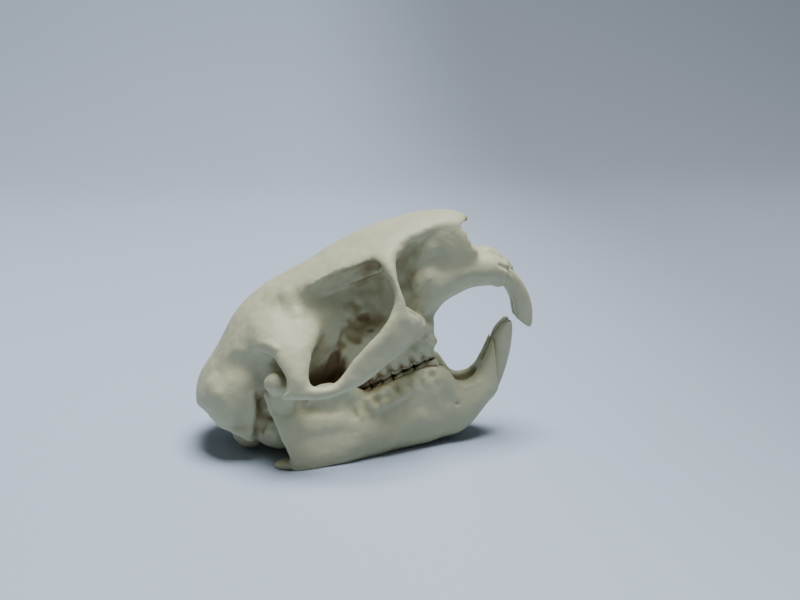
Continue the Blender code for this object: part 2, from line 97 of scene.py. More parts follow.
# %% [markdown]
# The floor is plain and pale and fades into the wall with no line between them, like a sheet of
# paper that is hung up behind and pulled forwards. It is one plane with its far edge extruded
# upwards, and a wide bevel rounds the turn. Its tone is painted darker towards the far right, as painted
# shade.

# %% Floor that curves up into a wall
FLOOR_SIZE = 3000.0
FLOOR_TURN = 700.0
WALL_HEIGHT = 1500.0
PAPER_DARK = (0.41, 0.48, 0.60)
PAPER_LIGHT = (0.44, 0.51, 0.63)
# Painted shade: the tone that the paper is painted towards the far right.
FAR_SHADE_TONE = (0.25, 0.285, 0.345, 1.0)
# Where the painted far shade starts and where it is complete, along each axis, in metres.
FAR_SHADE_FADES = (("X", 0.0, 0.22), ("Y", -0.32, 0.0))
# The numbers of the two colour inputs and of the colour output of a Mix node.
COLOUR_A, COLOUR_B, COLOUR_RESULT = 6, 7, 2


def backdrop_material():
    material = bpy.data.materials.new("pale_paper")
    material.use_nodes = True
    nodes, links = material.node_tree.nodes, material.node_tree.links
    shader = nodes["Principled BSDF"]
    shader.inputs["Roughness"].default_value = 0.75
    shader.inputs["Specular IOR Level"].default_value = 0.25
    place = nodes.new("ShaderNodeTexCoord")
    cloud = nodes.new("ShaderNodeTexNoise")
    cloud.inputs["Scale"].default_value = 2.0
    cloud.inputs["Detail"].default_value = 2.0
    tones = nodes.new("ShaderNodeMapRange")
    tones.data_type = "FLOAT_VECTOR"
    tones.inputs["From Min"].default_value[:] = (0.3, 0.3, 0.3)
    tones.inputs["From Max"].default_value[:] = (0.7, 0.7, 0.7)
    tones.inputs["To Min"].default_value[:] = PAPER_DARK
    tones.inputs["To Max"].default_value[:] = PAPER_LIGHT
    links.new(place.outputs["Object"], cloud.inputs["Vector"])
    links.new(cloud.outputs["Fac"], tones.inputs["Vector"])
    axes = nodes.new("ShaderNodeSeparateXYZ")
    links.new(place.outputs["Object"], axes.inputs["Vector"])
    fades = []
    for axis, start, end in FAR_SHADE_FADES:
        fade = nodes.new("ShaderNodeMapRange")
        fade.interpolation_type = "SMOOTHSTEP"
        fade.inputs["From Min"].default_value = start
        fade.inputs["From Max"].default_value = end
        links.new(axes.outputs[axis], fade.inputs["Value"])
        fades.append(fade.outputs["Result"])
    both = nodes.new("ShaderNodeMath")
    both.operation = "MULTIPLY"
    links.new(fades[0], both.inputs[0])
    links.new(fades[1], both.inputs[1])
    # The far right of the paper is painted darker, as painted shade.
    depth = nodes.new("ShaderNodeMix")
    depth.data_type = "RGBA"
    depth.inputs[COLOUR_B].default_value = FAR_SHADE_TONE
    links.new(both.outputs["Value"], depth.inputs[0])
    links.new(tones.outputs["Vector"], depth.inputs[COLOUR_A])
    links.new(depth.outputs[COLOUR_RESULT], shader.inputs["Base Color"])
    return material


bpy.ops.mesh.primitive_plane_add(size=FLOOR_SIZE * MM, location=(0, -0.2, 0))
floor = bpy.context.object
floor.name = "floor"
bpy.ops.object.transform_apply(location=True, rotation=True, scale=True)
bpy.ops.object.mode_set(mode="EDIT")
bpy.ops.mesh.select_all(action="DESELECT")
bpy.ops.mesh.select_mode(type="EDGE")
bm = bmesh.from_edit_mesh(floor.data)
far_edge = max(bm.edges, key=lambda e: (e.verts[0].co + e.verts[1].co).y)
far_edge.select_set(True)
bmesh.update_edit_mesh(floor.data)
bpy.ops.mesh.extrude_region_move(TRANSFORM_OT_translate={"value": (0, 0, WALL_HEIGHT * MM)})
bpy.ops.object.mode_set(mode="OBJECT")
turn = floor.modifiers.new("Turn", "BEVEL")
turn.width = FLOOR_TURN * MM
turn.segments = 16
turn.limit_method = "ANGLE"
bpy.ops.object.modifier_apply(modifier="Turn")
bpy.ops.object.shade_smooth()
floor.data.materials.append(backdrop_material())
deselect()
print("backdrop faces:", len(floor.data.polygons))

# %% [markdown]
# The roof of the skull is its brightest part and the shadow under it is broad and soft, so one
# large square light hangs high above, a little towards the nose and the far side. The pale world
# round it stands for the light that a room throws back, and keeps the hollows from going black.

# %% Light
KEY_PLACE = Vector((110.0, 50.0, 1130.0))
KEY_SIZE = 640.0
KEY_POWER = 26.0
KEY_COLOUR = (0.98, 0.99, 1.0)
AIR_COLOUR = (1.0, 0.96, 0.88, 1.0)
AIR_STRENGTH = 0.11


def soft_light(name, place, size, power, colour):
    """A square light that faces the skull."""
    bpy.ops.object.light_add(type="AREA", location=place * MM)
    light = bpy.context.object
    light.name = name
    light.rotation_euler = (place - VIEW_TARGET).to_track_quat("Z", "Y").to_euler()
    light.data.size = size * MM
    light.data.energy = power
    light.data.color = colour
    deselect()
    return light


soft_light("key_light", KEY_PLACE, KEY_SIZE, KEY_POWER, KEY_COLOUR)
air = bpy.data.worlds.new("air")
air.use_nodes = True
air.node_tree.nodes["Background"].inputs["Color"].default_value = AIR_COLOUR
air.node_tree.nodes["Background"].inputs["Strength"].default_value = AIR_STRENGTH
bpy.context.scene.world = air

# %% [markdown]
# Bone has no flat faces and no edges that run true, so its forms are built as a sculptor builds an
# armature. Each part of a bone is a strip that grows along a row of ribs: a disc is laid on the
# first rib, extruded, laid on the next one, and so on, and a smooth curve through the ribs fills
# in between. Round masses are stretched spheres. All of them are then kneaded into one skin.

# %% Ribs and strips
ROUND = (2.0, 2.0)
STEPS = 4
RING_POINTS = 28

# A rib: its upper and lower points, its width between them, and how square its two halves are.
Rib = namedtuple("Rib", "top bottom width square", defaults=(ROUND,))


def between(values, t):
    """Catmull-Rom value at t, which counts the spans along the list."""
    last = len(values) - 1
    i = min(int(t), last - 1)
    u = t - i
    before = values[i - 1] if i else values[0] * 2 - values[1]
    after = values[i + 2] if i + 2 <= last else values[last] * 2 - values[last - 1]
    a, b = values[i], values[i + 1]
    return (
        a * 2
        + (b - before) * u
        + (before * 2 - a * 5 + b * 4 - after) * u**2
        + (a * 3 - before - b * 3 + after) * u**3
    ) * 0.5


def rib_places(ribs, side=None, steps=STEPS):
    """Rings of points on the ribs and between them."""
    tops = [Vector(r.top) for r in ribs]
    bottoms = [Vector(r.bottom) for r in ribs]
    sizes = [Vector((r.width, r.square[0], r.square[1])) for r in ribs]
    count = (len(ribs) - 1) * steps
    path = [
        (between(tops, k / steps), between(bottoms, k / steps), between(sizes, k / steps))
        for k in range(count + 1)
    ]
    rings = []
    for k, (top, bottom, size) in enumerate(path):
        ahead, behind = path[min(k + 1, count)], path[max(k - 1, 0)]
        travel = (ahead[0] + ahead[1] - behind[0] - behind[1]) / 2
        reach = (top - bottom) / 2
        out_way = Vector(side) if side else reach.cross(travel).normalized()
        ring = []
        for j in range(RING_POINTS):
            up, out = cos(2 * pi * j / RING_POINTS), sin(2 * pi * j / RING_POINTS)
            power = 2.0 / (size[1] if up > 0 else size[2])
            up, out = copysign(abs(up) ** power, up), copysign(abs(out) ** power, out)
            ring.append(((top + bottom) / 2 + reach * up + out_way * (out * size[0] / 2)) * MM)
        rings.append(ring)
    return rings


def skin(name, rings):
    """Lays a disc on the first ring and extrudes it from ring to ring."""
    deselect()
    bpy.ops.mesh.primitive_circle_add(vertices=len(rings[0]), fill_type="NGON")
    strip = bpy.context.object
    strip.name = name
    strip.matrix_world = Matrix.Identity(4)
    bpy.ops.object.mode_set(mode="EDIT")
    bm = bmesh.from_edit_mesh(strip.data)
    ring_now = list(bm.verts)
    for vertex, place in zip(ring_now, rings[0]):
        vertex.co = place
    for ring in rings[1:]:
        made = {tuple(v.co): j for j, v in enumerate(ring_now)}
        bpy.ops.mesh.extrude_region_move()
        bm = bmesh.from_edit_mesh(strip.data)
        ring_now = sorted((v for v in bm.verts if v.select), key=lambda v: made[tuple(v.co)])
        for vertex, place in zip(ring_now, ring):
            vertex.co = place
    bpy.ops.mesh.select_all(action="SELECT")
    bpy.ops.mesh.normals_make_consistent(inside=False)
    bpy.ops.object.mode_set(mode="OBJECT")
    return strip


def strip(name, ribs, side=None):
    return skin(name, rib_places(ribs, side))


def middle_strip(name, rows):
    """A strip on the middle plane, from rows of (x, z) above, (x, z) below, width, squareness."""
    ribs = [Rib((a[0], 0, a[1]), (b[0], 0, b[1]), width, square) for a, b, width, square in rows]
    return strip(name, ribs, side=(0, 1, 0))


def rod(name, path):
    """A round strip along points with a radius each: ((x, y, z), radius)."""
    ribs = []
    for k, (point, radius) in enumerate(path):
        ahead = Vector(path[min(k + 1, len(path) - 1)][0])
        travel = (ahead - Vector(path[max(k - 1, 0)][0])).normalized()
        up = travel.cross(Vector((0, 1, 0))).normalized()
        point = Vector(point)
        ribs.append(Rib(point + up * radius, point - up * radius, 2 * radius))
    return strip(name, ribs)


def mass(name, centre, radii, turn=(0, 0, 0)):
    """A stretched sphere, turned about X, Y and Z in degrees."""
    deselect()
    bpy.ops.mesh.primitive_uv_sphere_add(
        segments=32,
        ring_count=16,
        radius=MM,
        location=Vector(centre) * MM,
        rotation=[radians(t) for t in turn],
        scale=radii,
    )
    lump = bpy.context.object
    lump.name = name
    bpy.ops.object.transform_apply(location=True, rotation=True, scale=True)
    return lump


trial = rod("trial", [((0, 0, 0), 1), ((5, 0, 1), 2), ((9, 0, 4), 1)])
print("a trial strip has", len(trial.data.polygons), "faces")
bpy.data.objects.remove(trial)

# %% [markdown]
# A skull is the same on both sides, so side parts are modelled once, on the left, and mirrored.
# Kneading is a voxel remesh with a little smoothing after it: it melts strips that overlap into one
# closed skin and leaves soft fillets, as bone has. Openings are cut with Boolean before the last
# kneading, so their rims are rounded a little too.

# %% Join, mirror, knead and carve
def apply_modifiers(body):
    deselect()
    body.select_set(True)
    bpy.context.view_layer.objects.active = body
    for modifier in list(body.modifiers):
        bpy.ops.object.modifier_apply(modifier=modifier.name)
    return body


def join(name, pieces):
    deselect()
    for piece in pieces:
        piece.select_set(True)
    bpy.context.view_layer.objects.active = pieces[0]
    if len(pieces) > 1:
        bpy.ops.object.join()
    body = bpy.context.object
    body.name = name
    body.data.name = name
    return body


def both_sides(name, pieces):
    """Joins pieces of the left side and adds their mirror image."""
    body = join(name, pieces)
    mirror = body.modifiers.new("Mirror", "MIRROR")
    mirror.use_axis = (False, True, False)
    mirror.use_mirror_merge = False
    return apply_modifiers(body)


def knead(name, pieces, voxel, smoothing):
    body = join(name, pieces)
    remesh = body.modifiers.new("Knead", "REMESH")
    remesh.mode = "VOXEL"
    remesh.voxel_size = voxel * MM
    soften = body.modifiers.new("Soften", "SMOOTH")
    soften.factor = 0.5
    soften.iterations = smoothing
    return apply_modifiers(body)


def vertex_array(mesh, what):
    values = np.empty(len(mesh.vertices) * 3)
    mesh.vertices.foreach_get(what, values)
    return values.reshape(-1, 3)


def carve(body, cutter):
    """Cuts one closed shape out of the body."""
    difference = body.modifiers.new("Carve", "BOOLEAN")
    difference.object = cutter
    difference.operation = "DIFFERENCE"
    difference.solver = "EXACT"
    apply_modifiers(body)
    bpy.data.objects.remove(cutter)
    return body


def slab(name, outline, half_width):
    """A flat (x, z) outline that reaches to both sides of the middle plane."""
    rings = [[Vector((x, y, z)) * MM for x, z in outline] for y in (-half_width, half_width)]
    return skin(name, rings)


print("tools ready: join, both_sides, knead, carve, slab")

# %% [markdown]
# The cranium starts with the brain case and the snout, one long egg that narrows forwards, the two
# round ear capsules under it and the beds of the upper cheek teeth. The back of the head is nearly
# flat, and the opening for the spinal cord is in its lower half.

# %% Brain case, ear capsules and tooth beds
CORE_VOXEL = 0.9
BED = (2.0, 4.0)

VAULT = [
    ((-51.7, 16.3), (-50.6, 12.5), 16, ROUND),
    ((-49.8, 22.2), (-45.0, 9.0), 31, ROUND),
    ((-45.1, 29.4), (-39.5, 6.5), 37, ROUND),
    ((-38.4, 41.0), (-31.5, 8.0), 40, ROUND),
    ((-29.8, 48.7), (-23.0, 10.0), 40, ROUND),
    ((-20.5, 53.8), (-15.0, 14.0), 35, ROUND),
    ((-12.0, 58.0), (-8.0, 20.0), 28, ROUND),
    ((-3.0, 62.0), (-1.0, 26.5), 22, (2.2, 2.0)),
    ((6.0, 65.0), (8.0, 29.5), 20.5, (2.8, 2.4)),
    ((14.0, 67.9), (17.0, 34.0), 21.6, (4.4, 2.8)),
    ((22.0, 69.0), (23.0, 41.5), 22, (4.4, 2.8)),
    ((28.0, 68.4), (29.0, 45.2), 20.4, (3.8, 2.6)),
    ((33.5, 66.0), (33.0, 46.5), 18, (2.6, 2.4)),
]
UPPER_BED = [
    Rib((19.8, 6.8, 42.0), (20.2, 6.5, 27.6), 8.6, BED),
    Rib((10.0, 8.2, 40.0), (12.0, 7.7, 24.6), 9.2, BED),
    Rib((-1.0, 10.2, 38.0), (0.0, 9.3, 20.2), 9.8, BED),
    Rib((-8.5, 11.0, 33.0), (-7.0, 10.2, 17.8), 8.8, BED),
]
BACK_PLATE = [(-60.0, 20.5), (-49.4, 13.0), (-35.0, 4.2), (-30.0, -2.0), (-60.0, -2.0)]

side_parts = both_sides(
    "side_parts",
    [
        mass("ear_capsule", (-27.0, 13.0, 10.5), (9.5, 7.2, 9.0), (0, 0, 20)),
        mass("ear_bone", (-38.5, 15.0, 17.0), (8.0, 6.0, 9.0), (0, 30, 0)),
        strip("upper_bed", UPPER_BED, side=(0, 1, 0)),
    ],
)
core = knead(
    "core",
    [
        middle_strip("vault", VAULT),
        mass("skull_base", (-30, 0, 9), (10, 10, 5.5), (0, 20, 0)),
        side_parts,
    ],
    CORE_VOXEL,
    8,
)
carve(core, slab("back_plate", BACK_PLATE, 40))
carve(core, mass("spinal_opening", (-41.5, 0, 8.0), (6.5, 6.0, 12.0), (0, 32, 0)))
print("core faces:", len(core.data.polygons))

# %% [markdown]
# Thin parts are added to this core: the roof with its edges over the eyes, the end of the snout, the
# cheek arches and their roots, the bars before the eyes, the spurs behind the ears and the swellings
# that the roots of the front teeth make in the snout. Two side cutters then hollow out the places
# for the eyes, which leaves the sharp rim of the roof over them.

# %% Roof and snout end
ROOF = [
    ((-30.0, 48.6), 7.0, 20),
    ((-24.0, 51.6), 8.5, 27),
    ((-18.0, 54.5), 9.5, 32),
    ((-10.0, 59.3), 11.0, 35),
    ((-2.0, 63.5), 12.0, 36),
    ((4.0, 65.9), 12.0, 36.5),
    ((9.0, 67.4), 9.0, 30),
    ((14.0, 68.9), 7.5, 24.5),
    ((21.0, 70.1), 7.0, 20),
    ((27.0, 69.8), 6.0, 17.6),
    ((29.8, 68.9), 3.4, 9),
]
SNOUT_END = [
    ((26.0, 61.5), (25.0, 43.0), 21, ROUND),
    ((31.5, 59.3), (31.2, 46.2), 17.8, (2.4, 2.2)),
    ((36.5, 58.3), (36.4, 46.7), 14.4, (2.2, 2.0)),
    ((41.3, 56.3), (39.8, 46.6), 12.4, ROUND),
    ((45.0, 52.3), (42.4, 46.6), 10.3, ROUND),
    ((47.8, 48.8), (44.6, 45.4), 9.4, ROUND),
]
roof_rows = [((x, z), (x + 0.25 * deep, z - deep), wide, ROUND) for (x, z), deep, wide in ROOF]
middle_parts = [middle_strip("roof", roof_rows), middle_strip("snout_end", SNOUT_END)]
print("middle parts:", [p.name for p in middle_parts])

# %% Cheek arches, eye bars, spurs and root swellings
ARCH = [
    Rib((14.5, 9.0, 40.5), (15.5, 9.0, 33.0), 6.0),
    Rib((12.5, 18.0, 43.0), (13.5, 18.0, 35.0), 4.5),
    Rib((8.8, 25.3, 47.0), (10.0, 25.8, 34.8), 3.6),
    Rib((5.2, 29.0, 45.6), (6.0, 29.0, 32.8), 3.6),
    Rib((0.9, 31.0, 40.4), (1.0, 31.5, 29.8), 3.8),
    Rib((-5.0, 32.5, 35.0), (-4.0, 32.5, 26.2), 3.9),
    Rib((-9.5, 33.2, 29.2), (-9.5, 33.2, 23.9), 4.1),
    Rib((-13.0, 33.5, 26.8), (-14.5, 33.5, 22.8), 4.4),
    Rib((-17.5, 33.2, 26.4), (-20.0, 33.5, 22.6), 4.6),
    Rib((-19.5, 32.5, 28.5), (-27.4, 32.8, 22.9), 4.4),
]
ARCH_ROOT = [
    Rib((-17.0, 33.0, 24.5), (-26.0, 33.1, 23.8), 4.2),
    Rib((-18.6, 32.3, 28.0), (-25.2, 32.6, 27.6), 4.4),
    Rib((-18.2, 29.5, 32.0), (-28.2, 28.6, 33.2), 4.8),
    Rib((-16.5, 25.0, 35.5), (-33.0, 23.6, 34.8), 7.4),
    Rib((-14.0, 17.0, 38.0), (-35.6, 17.0, 36.0), 12.4),
    Rib((-13.0, 8.0, 39.5), (-37.0, 8.0, 38.0), 14.0),
]
EYE_BAR = [
    Rib((13.0, 12.0, 62.4), (-3.0, 12.5, 57.5), 4.4),
    Rib((9.8, 15.6, 61.8), (-1.2, 16.3, 58.0), 5.0),
    Rib((7.6, 19.0, 59.8), (1.2, 19.3, 57.0), 5.0),
    Rib((7.1, 21.8, 56.6), (3.6, 22.0, 55.4), 4.2),
    Rib((7.5, 24.2, 52.4), (5.5, 24.6, 52.4), 3.8),
    Rib((8.9, 26.0, 48.0), (6.0, 26.6, 48.6), 3.8),
    Rib((10.6, 27.0, 42.5), (3.5, 29.0, 43.0), 3.8),
]
EAR_SPUR = [
    Rib((-33.0, 16.5, 21.0), (-46.0, 15.4, 16.0), 7.0),
    Rib((-33.6, 17.2, 12.0), (-42.5, 16.6, 10.5), 5.0),
    Rib((-34.0, 17.2, 5.6), (-37.0, 16.6, 5.6), 2.6),
]
THROAT_PLATE = [
    Rib((-3.0, 7.8, 30.0), (-5.0, 7.8, 22.5), 3.0),
    Rib((-9.0, 7.2, 26.0), (-11.0, 7.2, 17.0), 2.6),
    Rib((-16.0, 6.5, 22.0), (-18.0, 7.0, 13.0), 2.6),
]
ROOT_SWELLING = [
    ((42.0, 3.4, 50.6), 4.2),
    ((36.5, 4.6, 52.6), 4.4),
    ((30.0, 5.9, 52.4), 4.5),
    ((23.0, 7.4, 49.8), 4.5),
    ((17.5, 8.0, 46.0), 4.4),
    ((13.5, 8.0, 40.6), 4.0),
]
thin_parts = both_sides(
    "thin_parts",
    [
        strip("arch", ARCH),
        strip("arch_root", ARCH_ROOT),
        strip("eye_bar", EYE_BAR),
        strip("ear_spur", EAR_SPUR),
        strip("throat_plate", THROAT_PLATE),
        rod("root_swelling", ROOT_SWELLING),
        mass("neck_joint", (-36.0, 8.2, 5.0), (5.2, 3.8, 4.4), (0, 32, 0)),
    ],
)
print("thin parts have", len(thin_parts.data.polygons), "faces")

# %% Knead the cranium and hollow out the eyes
BONE_VOXEL = 0.52

EYE_HOLLOW = [
    Rib((3.4, 18.0, 58.2), (1.8, 19.5, 44.0), 11.0, (3.2, 2.0)),
    Rib((0.6, 19.0, 58.9), (0.0, 20.5, 42.0), 15.0, (3.4, 2.0)),
    Rib((-4.0, 21.0, 57.2), (-4.0, 22.5, 40.0), 19.0, (3.4, 2.0)),
    Rib((-10.0, 22.0, 55.6), (-8.5, 23.5, 38.0), 20.0, (3.4, 2.0)),
    Rib((-18.0, 23.4, 52.8), (-13.5, 24.0, 38.5), 19.5, (3.2, 2.0)),
    Rib((-25.0, 25.0, 50.0), (-17.5, 24.5, 41.0), 17.0, (2.8, 2.0)),
    Rib((-30.0, 27.0, 48.0), (-21.0, 26.0, 44.5), 11.0),
]
cranium = knead("cranium_bone", [core, thin_parts] + middle_parts, BONE_VOXEL, 3)
print("kneaded cranium faces:", len(cranium.data.polygons))
carve(cranium, both_sides("eye_hollows", [strip("eye_hollow", EYE_HOLLOW, side=(0, 1, 0))]))
print("cranium faces:", len(cranium.data.polygons))

# %% [markdown]
# On the real skull the eye space has a sharp rim above, but behind it runs out softly into the
# temple, where the chewing muscle lay. A Boolean leaves a sharp edge all round. More smoothing all
# over would soften the rim too, so the smoothing is held to a few round places, by vertex groups
# whose weights fall off towards their edge.

# %% Blend the hollows into the temples
Blend = namedtuple("Blend", "centre reach rounds")
BLEND_FACTOR = 0.6

TEMPLE_BLENDS = [
    Blend((-37.0, 17.5, 38.5), 8.0, 30),
    Blend((-34.0, 20.5, 35.5), 9.0, 220),
    Blend((-30.0, 26.0, 33.0), 5.0, 40),
    Blend((-17.5, 22.5, 38.5), 8.0, 90),
    Blend((-27.0, 16.0, 48.0), 10.0, 160),
    Blend((-25.0, 17.0, 46.0), 11.0, 40),
    Blend((-19.0, 18.0, 43.0), 9.0, 70),
    Blend((5.5, 19.0, 59.0), 5.0, 6),
    Blend((24.0, 10.0, 64.0), 9.0, 10),
    Blend((44.5, 4.5, 49.5), 5.5, 14),
    Blend((33.5, 8.0, 57.5), 4.5, 14),
    Blend((26.0, 10.0, 54.5), 7.0, 16),
]


def blend(body, blends):
    """Smooths the skin round some places on both sides, less and less towards their edge."""
    places = vertex_array(body.data, "co") / MM
    for spot in blends:
        group = body.vertex_groups.new(name="blend")
        for hand in (LEFT, RIGHT):
            x, y, z = spot.centre
            away = np.linalg.norm(places - np.array((x, hand * y, z)), axis=1) / spot.reach
            for j in np.flatnonzero(away < 1):
                group.add([int(j)], float((1 - away[j] ** 2) ** 0.5), "REPLACE")
        soften = body.modifiers.new("Blend", "SMOOTH")
        soften.factor = BLEND_FACTOR
        soften.iterations = spot.rounds
        soften.vertex_group = group.name
        apply_modifiers(body)
        body.vertex_groups.remove(body.vertex_groups[0])
    return body


print("places to blend on each side:", len(TEMPLE_BLENDS))

# %% [markdown]
# The nose opening has a ragged edge, seen from the side, and the end of the snout is cut back
# above the front teeth. Both are flat (x, z) outlines that a slab carries through the snout. A
# stretched sphere hollows out the snout behind the opening, and two more make the sockets of the
# jaw joints.

# %% Nose opening and joint sockets
NOSE_OPENING = [
    (31.6, 67.6),
    (27.8, 67.3),
    (28.3, 65.8),
    (29.9, 64.9),
    (29.7, 63.2),
    (30.8, 61.9),
    (31.0, 60.4),
    (32.6, 59.4),
    (34.0, 58.4),
    (60.0, 58.0),
    (60.0, 67.4),
]
SNOUT_MARGIN = [(49.0, 55.0), (46.4, 50.4), (43.2, 45.6), (44.0, 40.0), (60.0, 40.0), (60.0, 57.0)]
carve(cranium, slab("nose_opening", NOSE_OPENING, 30))
carve(cranium, mass("nose_cavity", (26.5, 0, 63.2), (13, 7.4, 4.6), (0, -4, 0)))
carve(cranium, slab("snout_margin", SNOUT_MARGIN, 30))
jaw_socket = mass("jaw_socket", (-28.8, 27.6, 27.0), (5.7, 6.6, 4.9), (0, -14, 0))
carve(cranium, both_sides("jaw_sockets", [jaw_socket]))
nose_tips = both_sides("nose_tips", [mass("nose_tip", (29.6, 1.8, 67.9), (1.5, 1.1, 1.1), (0, 20, 0))])
cranium = knead("cranium_bone", [cranium, nose_tips], BONE_VOXEL, 1)
blend(cranium, TEMPLE_BLENDS)
print("cranium faces:", len(cranium.data.polygons))

# %% [markdown]
# The jaw is two long plates that meet at the chin. Each one runs back from the chin under the teeth,
# flares out sideways along the table and rises behind to the joint. It is built from ribs too, with
# the knob of the joint and the lobe of the lower rear corner as separate masses.

# %% Jaw
JAW_BED = (4.6, 2.0)

JAW = [
    Rib((39.4, 2.8, 31.6), (43.6, 2.8, 19.6), 5.6),
    Rib((37.6, 2.9, 27.4), (41.6, 2.9, 16.4), 6.2),
    Rib((35.8, 3.4, 23.4), (39.8, 3.4, 12.8), 7.4),
    Rib((33.4, 4.2, 19.8), (36.6, 4.2, 10.0), 8.6),
    Rib((30.4, 5.0, 18.2), (32.6, 5.2, 5.2), 9.8),
    Rib((26.6, 5.8, 19.0), (27.6, 6.4, 1.9), 10.4),
    Rib((22.8, 6.8, 23.4), (22.4, 7.8, 0.9), 10.8, JAW_BED),
    Rib((17.6, 8.0, 24.5), (15.5, 11.2, 0.4), 11.8, JAW_BED),
    Rib((10.5, 9.4, 22.1), (7.5, 14.2, -0.1), 12.4, JAW_BED),
    Rib((3.0, 11.2, 19.5), (0.0, 18.2, -0.6), 11.6, JAW_BED),
    Rib((-4.5, 13.8, 17.2), (-8.0, 23.0, -0.6), 9.4, JAW_BED),
    Rib((-11.0, 17.2, 19.5), (-15.0, 26.2, -0.6), 6.0),
    Rib((-16.0, 19.8, 22.5), (-20.0, 28.2, -0.6), 4.4),
    Rib((-21.5, 22.8, 23.4), (-23.4, 28.6, -0.4), 3.6),
    Rib((-27.5, 25.2, 23.4), (-24.3, 28.3, 3.8), 2.8),
    Rib((-31.8, 25.8, 23.0), (-26.8, 27.5, 9.4), 2.2),
]
JAW_HORN = [
    Rib((2.0, 13.4, 16.0), (2.0, 15.8, 10.0), 3.0),
    Rib((-2.4, 15.0, 19.6), (-3.0, 17.4, 12.0), 3.2),
    Rib((-8.0, 18.2, 22.4), (-9.0, 20.2, 14.0), 3.0),
    Rib((-13.0, 21.0, 23.8), (-15.0, 23.0, 16.0), 2.6),
    Rib((-18.0, 23.4, 23.2), (-20.0, 25.0, 18.0), 2.2),
]
CHIN = [
    ((19.0, 9.5), (19.0, 4.0), 8, ROUND),
    ((26.0, 15.0), (26.0, 2.4), 11, ROUND),
    ((32.0, 17.5), (33.5, 7.6), 10, ROUND),
    ((36.0, 23.0), (38.6, 14.6), 7, ROUND),
]
JAW_MARGIN = [(38.8, 32.0), (39.5, 24.0), (40.7, 14.6), (43.0, 8.0), (60.0, 8.0), (60.0, 32.0)]
TABLE = [(-60, 0), (60, 0), (60, -20), (-60, -20)]

jaw_halves = both_sides(
    "jaw_halves",
    [
        strip("jaw_plate", JAW),
        mass("jaw_joint", (-27.8, 27.2, 26.1), (3.7, 3.1, 3.2), (0, -12, 0)),
        mass("jaw_neck", (-26.0, 26.0, 20.0), (4.6, 2.2, 6.0), (-8, 10, 0)),
        mass("jaw_corner", (-24.4, 25.6, 1.1), (4.5, 2.8, 1.6), (0, -6, 12)),
        strip("jaw_horn", JAW_HORN),
    ],
)
jaw = knead("mandible_bone", [jaw_halves, middle_strip("chin", CHIN)], BONE_VOXEL, 3)
carve(jaw, slab("jaw_margin", JAW_MARGIN, 30))
carve(jaw, slab("table", TABLE, 60))
print("jaw faces:", len(jaw.data.polygons))

# %% [markdown]
# The two rows of cheek teeth meet in one bite line that climbs towards the nose. It is set here,
# before the marks, because the bone swells over each half of a tooth and sinks in between.

# %% Bite line
BITE_FRONT = Vector((20.6, 0.0, 26.6))
BITE_SLOPE = radians(20)
ALONG_ROW = Vector((-cos(BITE_SLOPE), 0, -sin(BITE_SLOPE)))
ABOVE_BITE = Vector((-sin(BITE_SLOPE), 0, cos(BITE_SLOPE)))
TOOTH_PITCH = 7.1
TOOTH_NAMES = ("premolar", "molar_1", "molar_2", "molar_3")
BITE_GAP = 0.08
WAVE_HEIGHT = 0.36
# For each jaw: sideways place of the four teeth, and which way the roots go.
ROWS = {"upper": ((6.6, 7.8, 9.0, 10.0), 1), "lower": ((7.6, 8.8, 10.2, 11.4), -1)}


def row_place(jaw_name, place, height):
    """A point by its place along a row and its height over the bite."""
    sideways = [float(y) for y in ROWS[jaw_name][0]]
    y = between(sideways, min(max(place, 0.0), 3.0))
    point = BITE_FRONT + ALONG_ROW * ((place + 0.5) * TOOTH_PITCH) + ABOVE_BITE * height
    return point + Vector((0, y, 0))


print("bite line from", [round(v, 1) for v in BITE_FRONT], "mm, slope", round(BITE_SLOPE, 2))

# %% [markdown]
# The forms that make a skull look grown are low: hollows where muscles lay, ridges where they were
# tied on, grooves of nerves and swellings over the roots of teeth. They are too small for ribs, so
# they are pressed and raised on the finished skin, as a thumb does in clay. A mark is a line of
# points on the bone, how far round it the clay moves, and how much it rises or sinks. A point with
# only two numbers, x and z, is laid on the outer side of the bone.

# %% Marks
Mark = namedtuple("Mark", "points reach rise")
FAR_LEFT = 60.0
BESIDE_ROW = 12.0


def distance_to_line(places, line):
    """Shortest distance from each place to a broken line of points."""
    nearest = np.full(len(places), np.inf)
    for a, b in zip(line, line[1:] if len(line) > 1 else line):
        along = b - a
        share = np.clip((places - a) @ along / max(along @ along, 1e-12), 0, 1)
        foot = a + share[:, None] * along
        nearest = np.minimum(nearest, np.linalg.norm(places - foot, axis=1))
    return nearest


def on_side(tree, point):
    """A point (x, z) is laid on the left outer side; a full point stays as it is."""
    if len(point) == 3:
        return tuple(point)
    x, z = point
    hit = tree.ray_cast(Vector((x, FAR_LEFT, z)) * MM, Vector((0, -1, 0)))[0]
    if hit is None:
        hit = tree.find_nearest(Vector((x, BESIDE_ROW, z)) * MM)[0]
    return tuple(hit / MM)


def shape(body, marks):
    """Moves the skin along its normals round each mark, on both sides of the skull."""
    places = vertex_array(body.data, "co") / MM
    normals = vertex_array(body.data, "normal")
    tree = BVHTree.FromObject(body, bpy.context.evaluated_depsgraph_get())
    for mark in marks:
        points = [on_side(tree, p) for p in mark.points]
        middle = all(abs(p[1]) < 0.01 for p in points)
        for hand in (LEFT,) if middle else (LEFT, RIGHT):
            line = np.array([(x, hand * y, z) for x, y, z in points])
            low, high = line.min(0) - mark.reach, line.max(0) + mark.reach
            near = np.flatnonzero(((places > low) & (places < high)).all(1))
            share = distance_to_line(places[near], line) / mark.reach
            fade = np.clip(1 - share**2, 0, 1) ** 2
            places[near] += normals[near] * (fade * mark.rise)[:, None]
    body.data.vertices.foreach_set("co", (places * MM).ravel())
    body.data.update()
    return body


